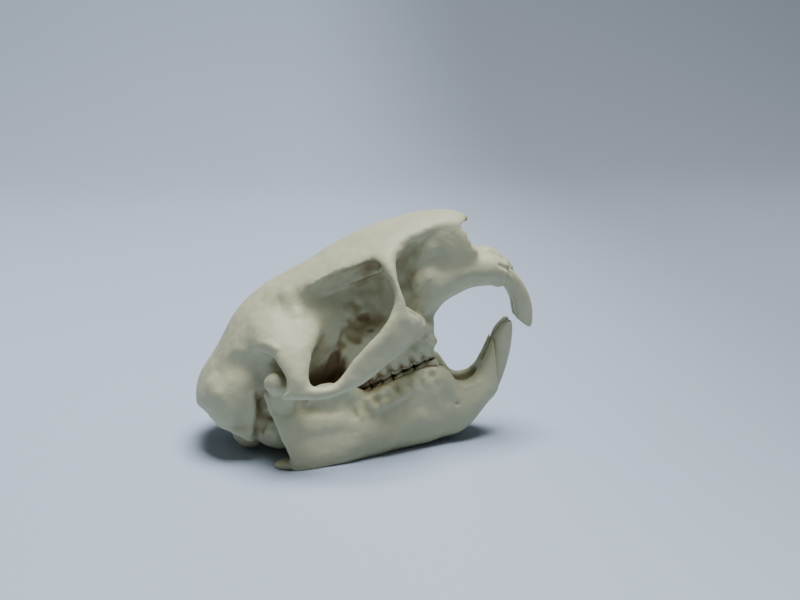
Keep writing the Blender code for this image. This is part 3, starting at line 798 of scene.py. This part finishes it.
def tooth_swellings(jaw_name, depth, pits):
    """Low swellings over the two halves of each tooth, and pits beside them.

    pits: how far the bone sinks between the halves of a tooth, and between two teeth.
    """
    up = ROWS[jaw_name][1]
    marks = []
    for k in range(2 * len(TOOTH_NAMES)):
        place = k / 2 - 0.25
        line = [row_place(jaw_name, place, up * height).xz for height in (depth, depth + 2.6)]
        marks.append(Mark(line, 1.9, 0.55))
        line = [row_place(jaw_name, place + 0.25, up * height).xz for height in (depth, depth + 1.8)]
        marks.append(Mark(line, 1.6, pits[k % 2]))
    return marks


SNOUT_MARKS = [
    Mark([(10.5, 10.5, 56.5), (10.8, 10.3, 51.0)], 5.0, -1.5),
    Mark([(12.4, 12.0, 60.0)], 4.0, -1.2),
    Mark([(15.4, 50.2), (17.6, 51.2)], 4.4, 2.1),
    Mark([(14.0, 12.6, 64.5), (16.2, 12.2, 62.4), (18.6, 11.4, 60.0)], 3.2, 0.5),
    Mark([(20.6, 11.2, 57.6), (21.6, 11.2, 55.4)], 3.6, -0.8),
    Mark([(31.9, 9.4, 50.0), (27.2, 10.8, 48.6), (23.5, 11.8, 46.0)], 3.4, -0.4),
    Mark([(37.0, 2.0, 57.8), (39.4, 2.0, 57.6), (41.2, 2.0, 56.4)], 1.6, 0.9),
    Mark([(42.8, 2.0, 54.6), (44.6, 2.0, 52.4)], 1.4, 0.8),
    Mark([(40.1, 54.4), (42.8, 53.0), (45.0, 51.4)], 1.0, -0.9),
    Mark([(9.5, 26.3, 46.2), (11.2, 24.1, 44.5), (13.1, 21.0, 42.8)], 1.4, -0.5),
    Mark([(16.0, 16.8, 38.6)], 2.2, 0.5),
    Mark([(18.3, 11.8, 36.6)], 2.2, 0.9),
    Mark([(18.3, 11.5, 33.8), (19.8, 9.8, 32.0)], 1.9, 0.9),
    Mark([(17.0, 12.5, 34.6), (13.0, 13.0, 31.5)], 1.6, -0.6),
    Mark([(9.0, 26.8, 38.5), (12.0, 22.5, 37.5)], 4.0, -0.6),
    Mark([(-5.0, 34.5, 30.8), (-0.4, 33.8, 33.4), (3.6, 31.5, 37.0)], 3.4, -0.4),
]
ORBIT_MARKS = [
    Mark([(-5.5, 12.5, 42.5), (-4.0, 12.0, 40.5)], 3.4, 0.9),
    Mark([(-8.2, 13.8, 34.5), (-7.0, 13.2, 37.0), (-4.0, 12.3, 38.4), (-0.5, 12.8, 38.2)], 1.3, -0.9),
    Mark([(-3.8, 12.9, 37.4), (-1.6, 13.0, 38.2), (0.6, 12.9, 37.2)], 1.3, -1.3),
    Mark([(-5.6, 13.2, 35.4), (-3.6, 13.4, 33.8)], 1.8, -1.0),
    Mark([(-1.4, 13.6, 34.6)], 1.8, 0.7),
    Mark([(-6.4, 13.0, 38.6)], 1.8, 0.6),
    Mark([(-8.4, 13.7, 32.9)], 1.5, -1.1),
    Mark([(-10.4, 12.8, 28.8), (-11.8, 12.0, 25.0)], 2.4, -0.9),
    Mark([(-8.0, 13.6, 30.5), (-9.0, 11.6, 26.0)], 1.6, 0.8),
    Mark([(-0.5, 11.2, 42.4)], 2.8, 0.8),
    Mark([(-2.2, 11.4, 46.0)], 2.6, 0.5),
    Mark([(-3.2, 40.2), (-0.6, 40.6)], 1.6, -0.9),
    Mark([(-5.6, 39.6)], 1.5, -0.8),
    Mark([(2.0, 12.0, 49.5)], 4.0, -0.9),
    Mark([(-12.5, 14.6, 22.8)], 2.4, -1.6),
    Mark([(-24.4, 11.6, 48.6), (-22.6, 14.0, 46.4), (-21.0, 16.6, 44.2)], 3.6, 0.8),
    Mark([(-25.0, 17.5, 43.0), (-23.5, 22.0, 40.5)], 4.0, -0.5),
    Mark([(-20.8, 27.5, 36.6)], 5.0, 0.5),
    Mark([(-33.5, 18.5, 34.6), (-29.8, 24.6, 36.7), (-27.6, 27.9, 36.2)], 1.5, 0.5),
]
EAR_BLENDS = [Blend((-34.0, 18.5, 14.0), 5.0, 6), Blend((-30.5, 17.5, 12.0), 5.0, 6)]
REAR_MARKS = [
    Mark([(-33.0, 21.0, 31.2), (-29.0, 26.0, 32.0)], 3.4, -0.9),
    Mark([(-40.0, 17.0, 28.8), (-36.5, 19.1, 27.8), (-33.7, 19.9, 26.5)], 5.4, -1.4),
    Mark([(-46.2, 14.1, 22.2), (-44.4, 17.0, 20.5)], 4.4, 0.8),
    Mark([(-34.6, 19.2, 20.5), (-34.4, 19.6, 14.3), (-34.9, 19.2, 9.0)], 1.5, 0.9),
    Mark([(-37.6, 19.0, 17.0), (-37.8, 19.0, 12.0)], 3.4, -0.9),
    Mark([(-31.9, 18.6, 17.9), (-31.4, 18.6, 12.4), (-32.0, 18.4, 9.2)], 1.9, -1.3),
    Mark([(-30.6, 18.8, 13.4), (-29.0, 19.2, 13.6)], 2.0, -2.0),
    Mark([(-32.8, 19.0, 11.0), (-31.2, 18.4, 9.2), (-29.0, 19.3, 9.6)], 1.2, 0.8),
    Mark([(-31.2, 18.3, 9.2), (-30.8, 18.2, 6.4)], 1.2, 0.7),
    Mark([(-46.5, 12.0, 11.6), (-42.1, 17.6, 10.4), (-38.5, 18.8, 8.4), (-35.0, 19.4, 7.6)], 1.8, 0.7),
    Mark([(-44.0, 9.0, 9.8)], 4.0, -0.9),
    Mark([(-50.6, 0.0, 13.6), (-47.0, 0.0, 11.4)], 2.4, 0.8),
]
skull_marks = SNOUT_MARKS + ORBIT_MARKS + REAR_MARKS + tooth_swellings("upper", 2.0, (-0.5, -0.8))
shape(cranium, skull_marks)
blend(cranium, EAR_BLENDS)
print("marks on the cranium:", len(skull_marks))

# %% [markdown]
# The outer face of the jaw has a ridge that runs down and back, where the chewing muscle held on,
# a hollow behind it and one small nerve hole near the chin. They are pressed and raised as on the
# cranium. The hollow in the thin rear plate is kept shallow, because a deep one breaks through.

# %% Marks on the jaw
JAW_MARKS = [
    Mark([(14.5, 16.6, 11.0), (11.0, 17.8, 9.4), (8.5, 18.6, 7.6), (5.4, 19.7, 5.0)], 3.2, 0.7),
    Mark([(-5.0, 19.5, 14.4), (-0.5, 19.8, 12.1), (3.0, 19.5, 11.3)], 4.8, -1.0),
    Mark([(17.0, 15.5, 14.1), (21.1, 13.9, 11.6), (22.8, 12.9, 14.6)], 4.2, -0.5),
    Mark([(27.0, 11.2, 12.9)], 1.2, -0.9),
    Mark([(24.4, 9.4, 20.2), (27.0, 9.0, 17.6), (30.0, 8.2, 16.8), (33.4, 7.4, 18.0)], 1.5, 0.5),
    Mark([(27.0, 0.0, 17.0), (32.0, 0.0, 18.5)], 4.0, -1.6),
    Mark([(-22.5, 19.0), (-14.0, 18.0), (-8.0, 17.4)], 4.2, -1.3),
    Mark([(-20.0, 12.4), (-14.0, 12.4), (-8.0, 12.0), (-3.0, 12.4)], 3.6, 0.6),
    Mark([(-0.6, 19.0)], 1.9, -0.6),
    Mark([(1.8, 17.0)], 1.8, -0.6),
    Mark([(7.3, 20.8), (7.6, 19.6)], 1.7, -0.6),
    Mark([(10.3, 20.4)], 1.7, -0.5),
    Mark([(15.8, 23.2)], 1.5, -0.8),
    Mark([(18.8, 22.8)], 1.6, -0.8),
    Mark([(3.6, 18.6), (5.0, 19.6)], 2.0, 0.6),
    Mark([(1.0, 14.8), (5.0, 16.0), (9.0, 17.6), (12.6, 19.6)], 1.7, 0.6),
]
jaw_marks = JAW_MARKS + tooth_swellings("lower", 2.0, (-0.25, -0.5))
shape(jaw, jaw_marks)
print("marks on the jaw:", len(jaw_marks))

# %% [markdown]
# Below these marks, bone is never quite even. Two Displace modifiers with cloud textures add low
# lumps and a finer unevenness, and a last smoothing takes away what the voxels left.

# %% Uneven bone
def uneven(body, name, size, strength):
    """Adds cloudy lumps of this size, which rise and sink by up to half the strength, in mm."""
    clouds = bpy.data.textures.new(name, "CLOUDS")
    clouds.noise_scale = size * MM
    clouds.noise_depth = 1
    lumps = body.modifiers.new(name, "DISPLACE")
    lumps.texture = clouds
    lumps.texture_coords = "LOCAL"
    lumps.strength = strength * MM
    lumps.mid_level = 0.5


for body in (cranium, jaw):
    uneven(body, "lumps", size=7.0, strength=0.55)
    uneven(body, "ripples", size=2.2, strength=0.16)
    soften = body.modifiers.new("Soften", "SMOOTH")
    soften.factor = 0.4
    soften.iterations = 2
    apply_modifiers(body)
    body.data.polygons.foreach_set("use_smooth", [True] * len(body.data.polygons))
    triangles = sum(len(f.vertices) - 2 for f in body.data.polygons)
    print(body.name, "triangles:", triangles)

# %% [markdown]
# A porcupine's cheek teeth are low pillars of two rounded halves, with a fold between them. Each
# half is a strip from the bite down to the root, kneaded together with its neighbour, and its end
# follows the waves of the bite line. Cloudy displacement makes no two crowns in a row alike. Each
# crown reaches a little into the next one and over the bite line, so the rows look closed.

# %% Cheek teeth
# Each half of a tooth, from the bite down to the root: depth, length along the row and width.
LOBE_RIBS = [
    (0.0, 3.0, 4.4),
    (0.3, 3.5, 5.4),
    (1.1, 3.75, 5.9),
    (2.2, 3.75, 5.7),
    (3.4, 3.75, 6.0),
    (6.2, 3.6, 5.0),
]
LOBE_SQUARE = (5.0, 5.0)
TOOTH_VOXEL = 0.2


def tooth_lobe(jaw_name, place):
    """One half of a tooth, a short pillar whose end follows the waves of the bite line."""
    roots_up = ROWS[jaw_name][1]
    ribs = []
    for depth, length, width in LOBE_RIBS:
        ends = []
        for end in (-0.5, 0.5):
            at = place + end * length / TOOTH_PITCH
            wave = WAVE_HEIGHT * sin(4 * pi * at + 0.6) * max(0.0, 1 - depth / 2)
            ends.append(row_place(jaw_name, at, wave + roots_up * (BITE_GAP + depth)))
        ribs.append(Rib(ends[0], ends[1], width, LOBE_SQUARE))
    return strip("lobe", ribs, side=(0, 1, 0))


def cheek_tooth(name, jaw_name, index):
    lobes = [tooth_lobe(jaw_name, index - 0.25), tooth_lobe(jaw_name, index + 0.25)]
    tooth = knead(name, lobes, TOOTH_VOXEL, 2)
    uneven(tooth, "wear", size=2.1, strength=0.75)
    soften = tooth.modifiers.new("Soften", "SMOOTH")
    soften.iterations = 2
    return apply_modifiers(tooth)


teeth = {}
for jaw_name in ROWS:
    for index, tooth_name in enumerate(TOOTH_NAMES):
        node = f"{jaw_name}_{tooth_name}_left"
        teeth[node] = cheek_tooth(node + "_crown", jaw_name, index)
print("cheek teeth modelled:", len(teeth), "faces each:", len(teeth["upper_molar_1_left"].data.polygons))

# %% [markdown]
# The front teeth grow all through life in a curve, and each wears to a chisel against the other jaw.
# Each one is a strip with a flat front and a rounded back, and its last ribs lean over to make the
# worn end.

# %% Front teeth
INCISOR_OFFSET = 2.4
INCISOR_WIDTH = 4.4
ENAMEL_FACE = (3.0, 2.2)
# Points (x, z) on the front and the back of the tooth, from the root to the worn tip.
UPPER_INCISOR = [
    ((32.0, 54.0), (31.5, 49.2)),
    ((38.5, 55.4), (37.3, 49.6)),
    ((43.6, 52.8), (40.4, 48.2)),
    ((47.5, 48.9), (43.2, 45.5)),
    ((49.9, 44.5), (44.9, 42.6)),
    ((51.1, 40.3), (45.6, 39.6)),
    ((51.3, 37.0), (46.1, 37.2)),
    ((51.2, 35.3), (47.0, 36.2)),
    ((50.6, 34.0), (48.6, 34.9)),
]
LOWER_INCISOR = [
    ((35.6, 8.6), (32.6, 11.2)),
    ((39.4, 12.0), (35.4, 15.2)),
    ((41.6, 16.4), (36.8, 18.2)),
    ((43.2, 21.2), (37.9, 22.2)),
    ((44.5, 26.6), (38.7, 26.8)),
    ((45.0, 31.0), (39.5, 30.6)),
    ((45.1, 34.0), (41.0, 33.4)),
    ((44.8, 35.8), (43.2, 35.4)),
]


def incisor(name, rows):
    ribs = [
        Rib((a[0], INCISOR_OFFSET, a[1]), (b[0], INCISOR_OFFSET, b[1]), INCISOR_WIDTH, ENAMEL_FACE)
        for a, b in rows
    ]
    tooth = strip(name, ribs, side=(0, 1, 0))
    edges = tooth.modifiers.new("Worn edge", "BEVEL")
    edges.width = 0.2 * MM
    edges.segments = 2
    edges.limit_method = "ANGLE"
    edges.angle_limit = radians(50)
    return apply_modifiers(tooth)


teeth["upper_incisor_left"] = incisor("upper_incisor_left_crown", UPPER_INCISOR)
teeth["lower_incisor_left"] = incisor("lower_incisor_left_crown", LOWER_INCISOR)
print("teeth of the left side:", len(teeth))

# %% [markdown]
# The teeth of the right side are mirror images of the left ones. A mirror turns faces inside out,
# so each copy has its faces turned out again before anything is measured on it.

# %% Teeth of the right side
def mirrored(piece, name):
    """A copy of a left piece on the right side, with its faces turned out again."""
    deselect()
    piece.select_set(True)
    bpy.context.view_layer.objects.active = piece
    bpy.ops.object.duplicate()
    copy = bpy.context.object
    copy.name = name
    copy.data.name = name
    bpy.ops.transform.mirror(constraint_axis=(False, True, False))
    bpy.ops.object.transform_apply(location=True, rotation=True, scale=True)
    bpy.ops.object.mode_set(mode="EDIT")
    bpy.ops.mesh.select_all(action="SELECT")
    bpy.ops.mesh.normals_make_consistent(inside=False)
    bpy.ops.object.mode_set(mode="OBJECT")
    return copy


for node, tooth in list(teeth.items()):
    other = node.replace("_left", "_right")
    teeth[other] = mirrored(tooth, other + "_crown")
for tooth in teeth.values():
    tooth.data.polygons.foreach_set("use_smooth", [True] * len(tooth.data.polygons))
print("teeth in all:", len(teeth))

# %% [markdown]
# Dry bone is not one colour, and besides its own patches the skull gets painted shade in its hollows,
# browner and darker than the pale cream of what lies open. To know where, rays go out from every
# point of the skull, and the share that meets bone or tooth is stored on that point as an attribute.
# Places deep in the space behind the cheek arch get more painted shade than their rays give. The
# way the skin bends is stored too, as "raised": ridges are made paler, as wear and painted highlight,
# and creases darker, as painted shade.

# %% Painted shade in hollows, and raised places
SHELTER_RAYS = 36
SHELTER_REACH = 30.0
RAY_START = 0.3
# Rays that leave the skin flatter than this are left out.
GRAZING = 0.1
# How many times the values are spread to their neighbours, to even them out.
SHELTER_SPREAD = 3
BEND_SPAN = 6
RAISED_SPREAD = 2
# The painted shade that a place deep in the eye space adds, from how far inwards, and over how many mm it
# grows.
INSIDE_SHADE = 0.42
INSIDE_FROM = 11.0
INSIDE_FADE = 8.0
# The addition is for enclosed places alone: none up to the first share of rays, then growing.
ENCLOSED_FROM = 0.1
ENCLOSED_FADE = 0.2
# How far out the eye space is taken to reach, by the place along the skull.
ARCH_X = (-30, -26, -2, 4, 8)
ARCH_Y = (18, 33, 33, 26, 10)


def even_directions(count):
    """Unit directions spread evenly over a sphere."""
    k = np.arange(count) + 0.5
    height = 1 - 2 * k / count
    turn = k * pi * (3 - 5**0.5)
    flat = np.sqrt(1 - height**2)
    return np.stack([flat * np.cos(turn), flat * np.sin(turn), height], axis=1)


def spread(mesh, values, rounds):
    """Each point takes the mean of its neighbours and itself, a few times."""
    edges = np.empty(len(mesh.edges) * 2, dtype=np.int64)
    mesh.edges.foreach_get("vertices", edges)
    a, b = edges.reshape(-1, 2).T
    count = np.bincount(a, minlength=len(values)) + np.bincount(b, minlength=len(values)) + 1
    for _ in range(rounds):
        total = values + np.bincount(a, values[b], len(values)) + np.bincount(b, values[a], len(values))
        values = total / count
    return values


def store(mesh, name, values):
    mesh.attributes.new(name, "FLOAT", "POINT").data.foreach_set("value", values.astype(np.float32))


def inside(places):
    """1 for places deep in the eye space, 0 for places near its outer side; deep places get more painted
    shade.
    """
    widest = np.interp(places[:, 0], ARCH_X, ARCH_Y)
    return np.clip((widest - np.abs(places[:, 1]) - INSIDE_FROM) / INSIDE_FADE, 0, 1)


def find_painted_shade(bodies):
    """Stores, for each point, how much of what it faces is near bone or tooth, as its painted shade."""
    soup = bmesh.new()
    for body in bodies:
        soup.from_mesh(body.data)
    tree = BVHTree.FromBMesh(soup)
    soup.free()
    directions = even_directions(SHELTER_RAYS)
    rays = [Vector(d) for d in directions]
    reach = SHELTER_REACH * MM
    for body in bodies:
        places, normals = vertex_array(body.data, "co"), vertex_array(body.data, "normal")
        facing = normals @ directions.T
        closed = np.zeros(len(places))
        for j, start in enumerate(places + normals * RAY_START * MM):
            start = Vector(start)
            weight = met = 0.0
            for k in np.flatnonzero(facing[j] > GRAZING):
                share = facing[j, k]
                weight += share
                distance = tree.ray_cast(start, rays[k], reach)[3]
                if distance is not None:
                    met += share * (1 - distance / reach)
            closed[j] = met / weight
        # Deep in the eye space, more painted shade is added than the rays give.
        enclosed = np.clip((closed - ENCLOSED_FROM) / ENCLOSED_FADE, 0, 1)
        closed += INSIDE_SHADE * inside(places / MM) * enclosed
        # The share is stored as each point's painted shade.
        store(body.data, "painted_shade", spread(body.data, closed, SHELTER_SPREAD))


def find_raised(body):
    """Stores how far each point stands out from the mean of the skin round it, in mm, which makes ridges
    paler, as wear and painted highlight, and creases darker, as painted shade.
    """
    places, normals = vertex_array(body.data, "co"), vertex_array(body.data, "normal")
    means = np.stack([spread(body.data, places[:, k], BEND_SPAN) for k in range(3)], axis=1)
    bend = ((places - means) * normals).sum(1) / MM
    store(body.data, "raised", spread(body.data, bend, RAISED_SPREAD))


pieces = {"cranium": cranium, "mandible": jaw, **teeth}
find_painted_shade(list(pieces.values()))
for body in pieces.values():
    find_raised(body)
for node in ("cranium", "mandible", "upper_molar_1_left"):
    for name in ("painted_shade", "raised"):
        data = pieces[node].data.attributes[name].data
        values = np.empty(len(data))
        data.foreach_get("value", values)
        print(node, name, np.percentile(values, (5, 50, 95)).round(3))

# %% [markdown]
# Bone and tooth share one node group. It breaks an open tone up with cloudy patches, paints shade
# into the hollows by the two attributes, makes ridges paler, as wear and painted highlight, and
# creases darker, as painted shade, and gives the fine grain and pores that go to roughness and
# bump. The shader itself stays in each material, with the values that are the same all over.

# %% Node group for grown surfaces
GROWN_INPUTS = [
    ("Open", "NodeSocketColor", (0.5, 0.5, 0.5, 1)),
    ("Cloudy", "NodeSocketColor", (0.5, 0.5, 0.5, 1)),
    # The next two tones are painted shade, for hollows and for deep hollows.
    ("Shade Tone", "NodeSocketColor", (0.2, 0.2, 0.2, 1)),
    ("Deep Shade Tone", "NodeSocketColor", (0.1, 0.1, 0.1, 1)),
    ("Patch Scale", "NodeSocketFloat", 90.0),
    ("Grain Scale", "NodeSocketFloat", 1500.0),
    ("Stretch", "NodeSocketVector", (1.0, 1.0, 1.0)),
    ("Smoothest", "NodeSocketFloat", 0.4),
    ("Roughest", "NodeSocketFloat", 0.6),
]
GROWN_OUTPUTS = [
    ("Color", "NodeSocketColor"),
    ("Roughness", "NodeSocketFloat"),
    ("Height", "NodeSocketFloat"),
]
# The share of painted shade at which each darker shade tone starts and is complete.
SHADE_FROM, SHADE_TO = 0.18, 0.50
DEEP_SHADE_FROM, DEEP_SHADE_TO = 0.48, 0.80
# How the broad and the small patches share in the tone, and what each relief adds to the height.
BROAD_SHARE, SMALL_SHARE = 0.65, 0.35
LOW_RELIEF, FINE_RELIEF, PORE_RELIEF = 0.9, 0.35, 0.12


def add_node(tree, kind, **settings):
    node = tree.nodes.new(kind)
    for name, value in settings.items():
        setattr(node, name, value)
    return node


def add_noise(tree, vector, scale, detail):
    """Cloudy noise; scale is a number or a socket."""
    node = add_node(tree, "ShaderNodeTexNoise")
    node.inputs["Detail"].default_value = detail
    tree.links.new(vector, node.inputs["Vector"])
    if isinstance(scale, float):
        node.inputs["Scale"].default_value = scale
    else:
        tree.links.new(scale, node.inputs["Scale"])
    return node.outputs["Fac"]


def add_range(tree, value, low, high, to_low=0.0, to_high=1.0, soft=True):
    node = add_node(tree, "ShaderNodeMapRange")
    node.interpolation_type = "SMOOTHSTEP" if soft else "LINEAR"
    tree.links.new(value, node.inputs["Value"])
    for name, number in zip(("From Min", "From Max", "To Min", "To Max"), (low, high, to_low, to_high)):
        node.inputs[name].default_value = number
    return node.outputs["Result"]


def add_math(tree, operation, a, b):
    node = add_node(tree, "ShaderNodeMath", operation=operation)
    for socket, value in zip(node.inputs, (a, b)):
        if isinstance(value, float):
            socket.default_value = value
        else:
            tree.links.new(value, socket)
    return node.outputs["Value"]


def add_mix(tree, share, a, b, kind="RGBA"):
    """Mix of two colours, or of two numbers with kind FLOAT."""
    node = add_node(tree, "ShaderNodeMix", data_type=kind)
    colours = (COLOUR_A, COLOUR_B, COLOUR_RESULT)
    first, second, result = colours if kind == "RGBA" else (2, 3, 0)
    tree.links.new(share, node.inputs[0])
    tree.links.new(a, node.inputs[first])
    tree.links.new(b, node.inputs[second])
    return node.outputs[result]


def grown_surface():
    tree = bpy.data.node_groups.new("grown_surface", "ShaderNodeTree")
    for name, kind, value in GROWN_INPUTS:
        socket = tree.interface.new_socket(name=name, in_out="INPUT", socket_type=kind)
        socket.default_value = value
    for name, kind in GROWN_OUTPUTS:
        tree.interface.new_socket(name=name, in_out="OUTPUT", socket_type=kind)
    given = add_node(tree, "NodeGroupInput").outputs
    result = add_node(tree, "NodeGroupOutput").inputs
    place = add_node(tree, "ShaderNodeTexCoord").outputs["Object"]
    stretched = add_node(tree, "ShaderNodeVectorMath", operation="MULTIPLY")
    tree.links.new(place, stretched.inputs[0])
    tree.links.new(given["Stretch"], stretched.inputs[1])
    grain_place = stretched.outputs["Vector"]
    # These attributes carry the painted shade of hollows, and the bend that makes ridges paler and creases
    # darker.
    painted_shade = add_node(tree, "ShaderNodeAttribute", attribute_name="painted_shade").outputs["Fac"]
    raised = add_node(tree, "ShaderNodeAttribute", attribute_name="raised").outputs["Fac"]

    patches = add_noise(tree, place, given["Patch Scale"], 4.0)
    small = add_noise(tree, grain_place, add_math(tree, "MULTIPLY", given["Patch Scale"], 4.5), 3.0)
    grain = add_noise(tree, grain_place, given["Grain Scale"], 3.0)
    pores = add_node(tree, "ShaderNodeTexVoronoi")
    tree.links.new(grain_place, pores.inputs["Vector"])
    tree.links.new(add_math(tree, "MULTIPLY", given["Grain Scale"], 0.5), pores.inputs["Scale"])
    pore = add_range(tree, pores.outputs["Distance"], 0.06, 0.26)

    broad_share = add_math(tree, "MULTIPLY", patches, BROAD_SHARE)
    small_share = add_math(tree, "MULTIPLY", small, SMALL_SHARE)
    cloudy = add_math(tree, "ADD", broad_share, small_share)
    tone = add_mix(tree, add_range(tree, cloudy, 0.38, 0.62), given["Open"], given["Cloudy"])
    # Painted shade: hollows darken towards the two shade tones, broken a little by the small patches.
    shade = add_math(tree, "ADD", painted_shade, add_range(tree, small, 0.2, 0.8, -0.07, 0.07))
    # Ridges are made paler, partly as wear and partly as painted highlight, and creases darker, as painted
    # shade.
    shade = add_math(tree, "SUBTRACT", shade, add_range(tree, raised, -0.12, 0.12, -0.1, 0.1))
    tone = add_mix(tree, add_range(tree, shade, SHADE_FROM, SHADE_TO), tone, given["Shade Tone"])
    tone = add_mix(tree, add_range(tree, shade, DEEP_SHADE_FROM, DEEP_SHADE_TO), tone, given["Deep Shade Tone"])
    tree.links.new(tone, result["Color"])

    rough = add_mix(tree, add_range(tree, grain, 0.3, 0.7), given["Smoothest"], given["Roughest"], "FLOAT")
    tree.links.new(rough, result["Roughness"])
    low_relief = add_math(tree, "MULTIPLY", small, LOW_RELIEF)
    fine_relief = add_math(tree, "MULTIPLY", grain, FINE_RELIEF)
    relief = add_math(tree, "ADD", low_relief, fine_relief)
    relief = add_math(tree, "ADD", relief, add_math(tree, "MULTIPLY", pore, PORE_RELIEF))
    tree.links.new(relief, result["Height"])
    return tree


grown = grown_surface()
print("nodes in the group:", len(grown.nodes))

# %% [markdown]
# Dry bone is matt, with a faint sheen where it is dense. Teeth have the same cream tone here but
# are smoother, and their grain runs along the crown, which the Stretch input does. Each material
# holds its own shader and bump, and gets colour, roughness and height from the shared group.

# %% Bone and tooth
def grown_material(name, values, bump, specular):
    material = bpy.data.materials.new(name)
    material.use_nodes = True
    tree = material.node_tree
    shader = tree.nodes["Principled BSDF"]
    shader.inputs["Specular IOR Level"].default_value = specular
    surface = add_node(tree, "ShaderNodeGroup", node_tree=grown)
    for label, value in values.items():
        surface.inputs[label].default_value = value
    relief = add_node(tree, "ShaderNodeBump")
    relief.inputs["Strength"].default_value = 1.0
    relief.inputs["Distance"].default_value = bump * MM
    tree.links.new(surface.outputs["Height"], relief.inputs["Height"])
    tree.links.new(surface.outputs["Color"], shader.inputs["Base Color"])
    tree.links.new(surface.outputs["Roughness"], shader.inputs["Roughness"])
    tree.links.new(relief.outputs["Normal"], shader.inputs["Normal"])
    return material


bone = grown_material(
    "bone",
    {
        "Open": (0.472, 0.478, 0.318, 1),
        "Cloudy": (0.425, 0.432, 0.280, 1),
        # Painted shade in hollows and in deep hollows.
        "Shade Tone": (0.330, 0.295, 0.165, 1),
        "Deep Shade Tone": (0.225, 0.165, 0.085, 1),
        "Patch Scale": 75.0,
        "Grain Scale": 1300.0,
        "Smoothest": 0.46,
        "Roughest": 0.62,
    },
    bump=0.22,
    specular=0.35,
)
tooth_finish = grown_material(
    "tooth",
    {
        "Open": (0.480, 0.482, 0.335, 1),
        "Cloudy": (0.430, 0.432, 0.285, 1),
        # Painted shade in hollows and in deep hollows.
        "Shade Tone": (0.440, 0.420, 0.270, 1),
        "Deep Shade Tone": (0.260, 0.215, 0.120, 1),
        "Patch Scale": 150.0,
        "Grain Scale": 1500.0,
        "Stretch": (1.0, 1.6, 0.35),
        "Smoothest": 0.32,
        "Roughest": 0.46,
    },
    bump=0.12,
    specular=0.45,
)
for node, body in pieces.items():
    is_bone = node in ("cranium", "mandible")
    body.data.materials.clear()
    body.data.materials.append(bone if is_bone else tooth_finish)
    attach(body, "root")
    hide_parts(node)
print("materials:", bone.name, tooth_finish.name)
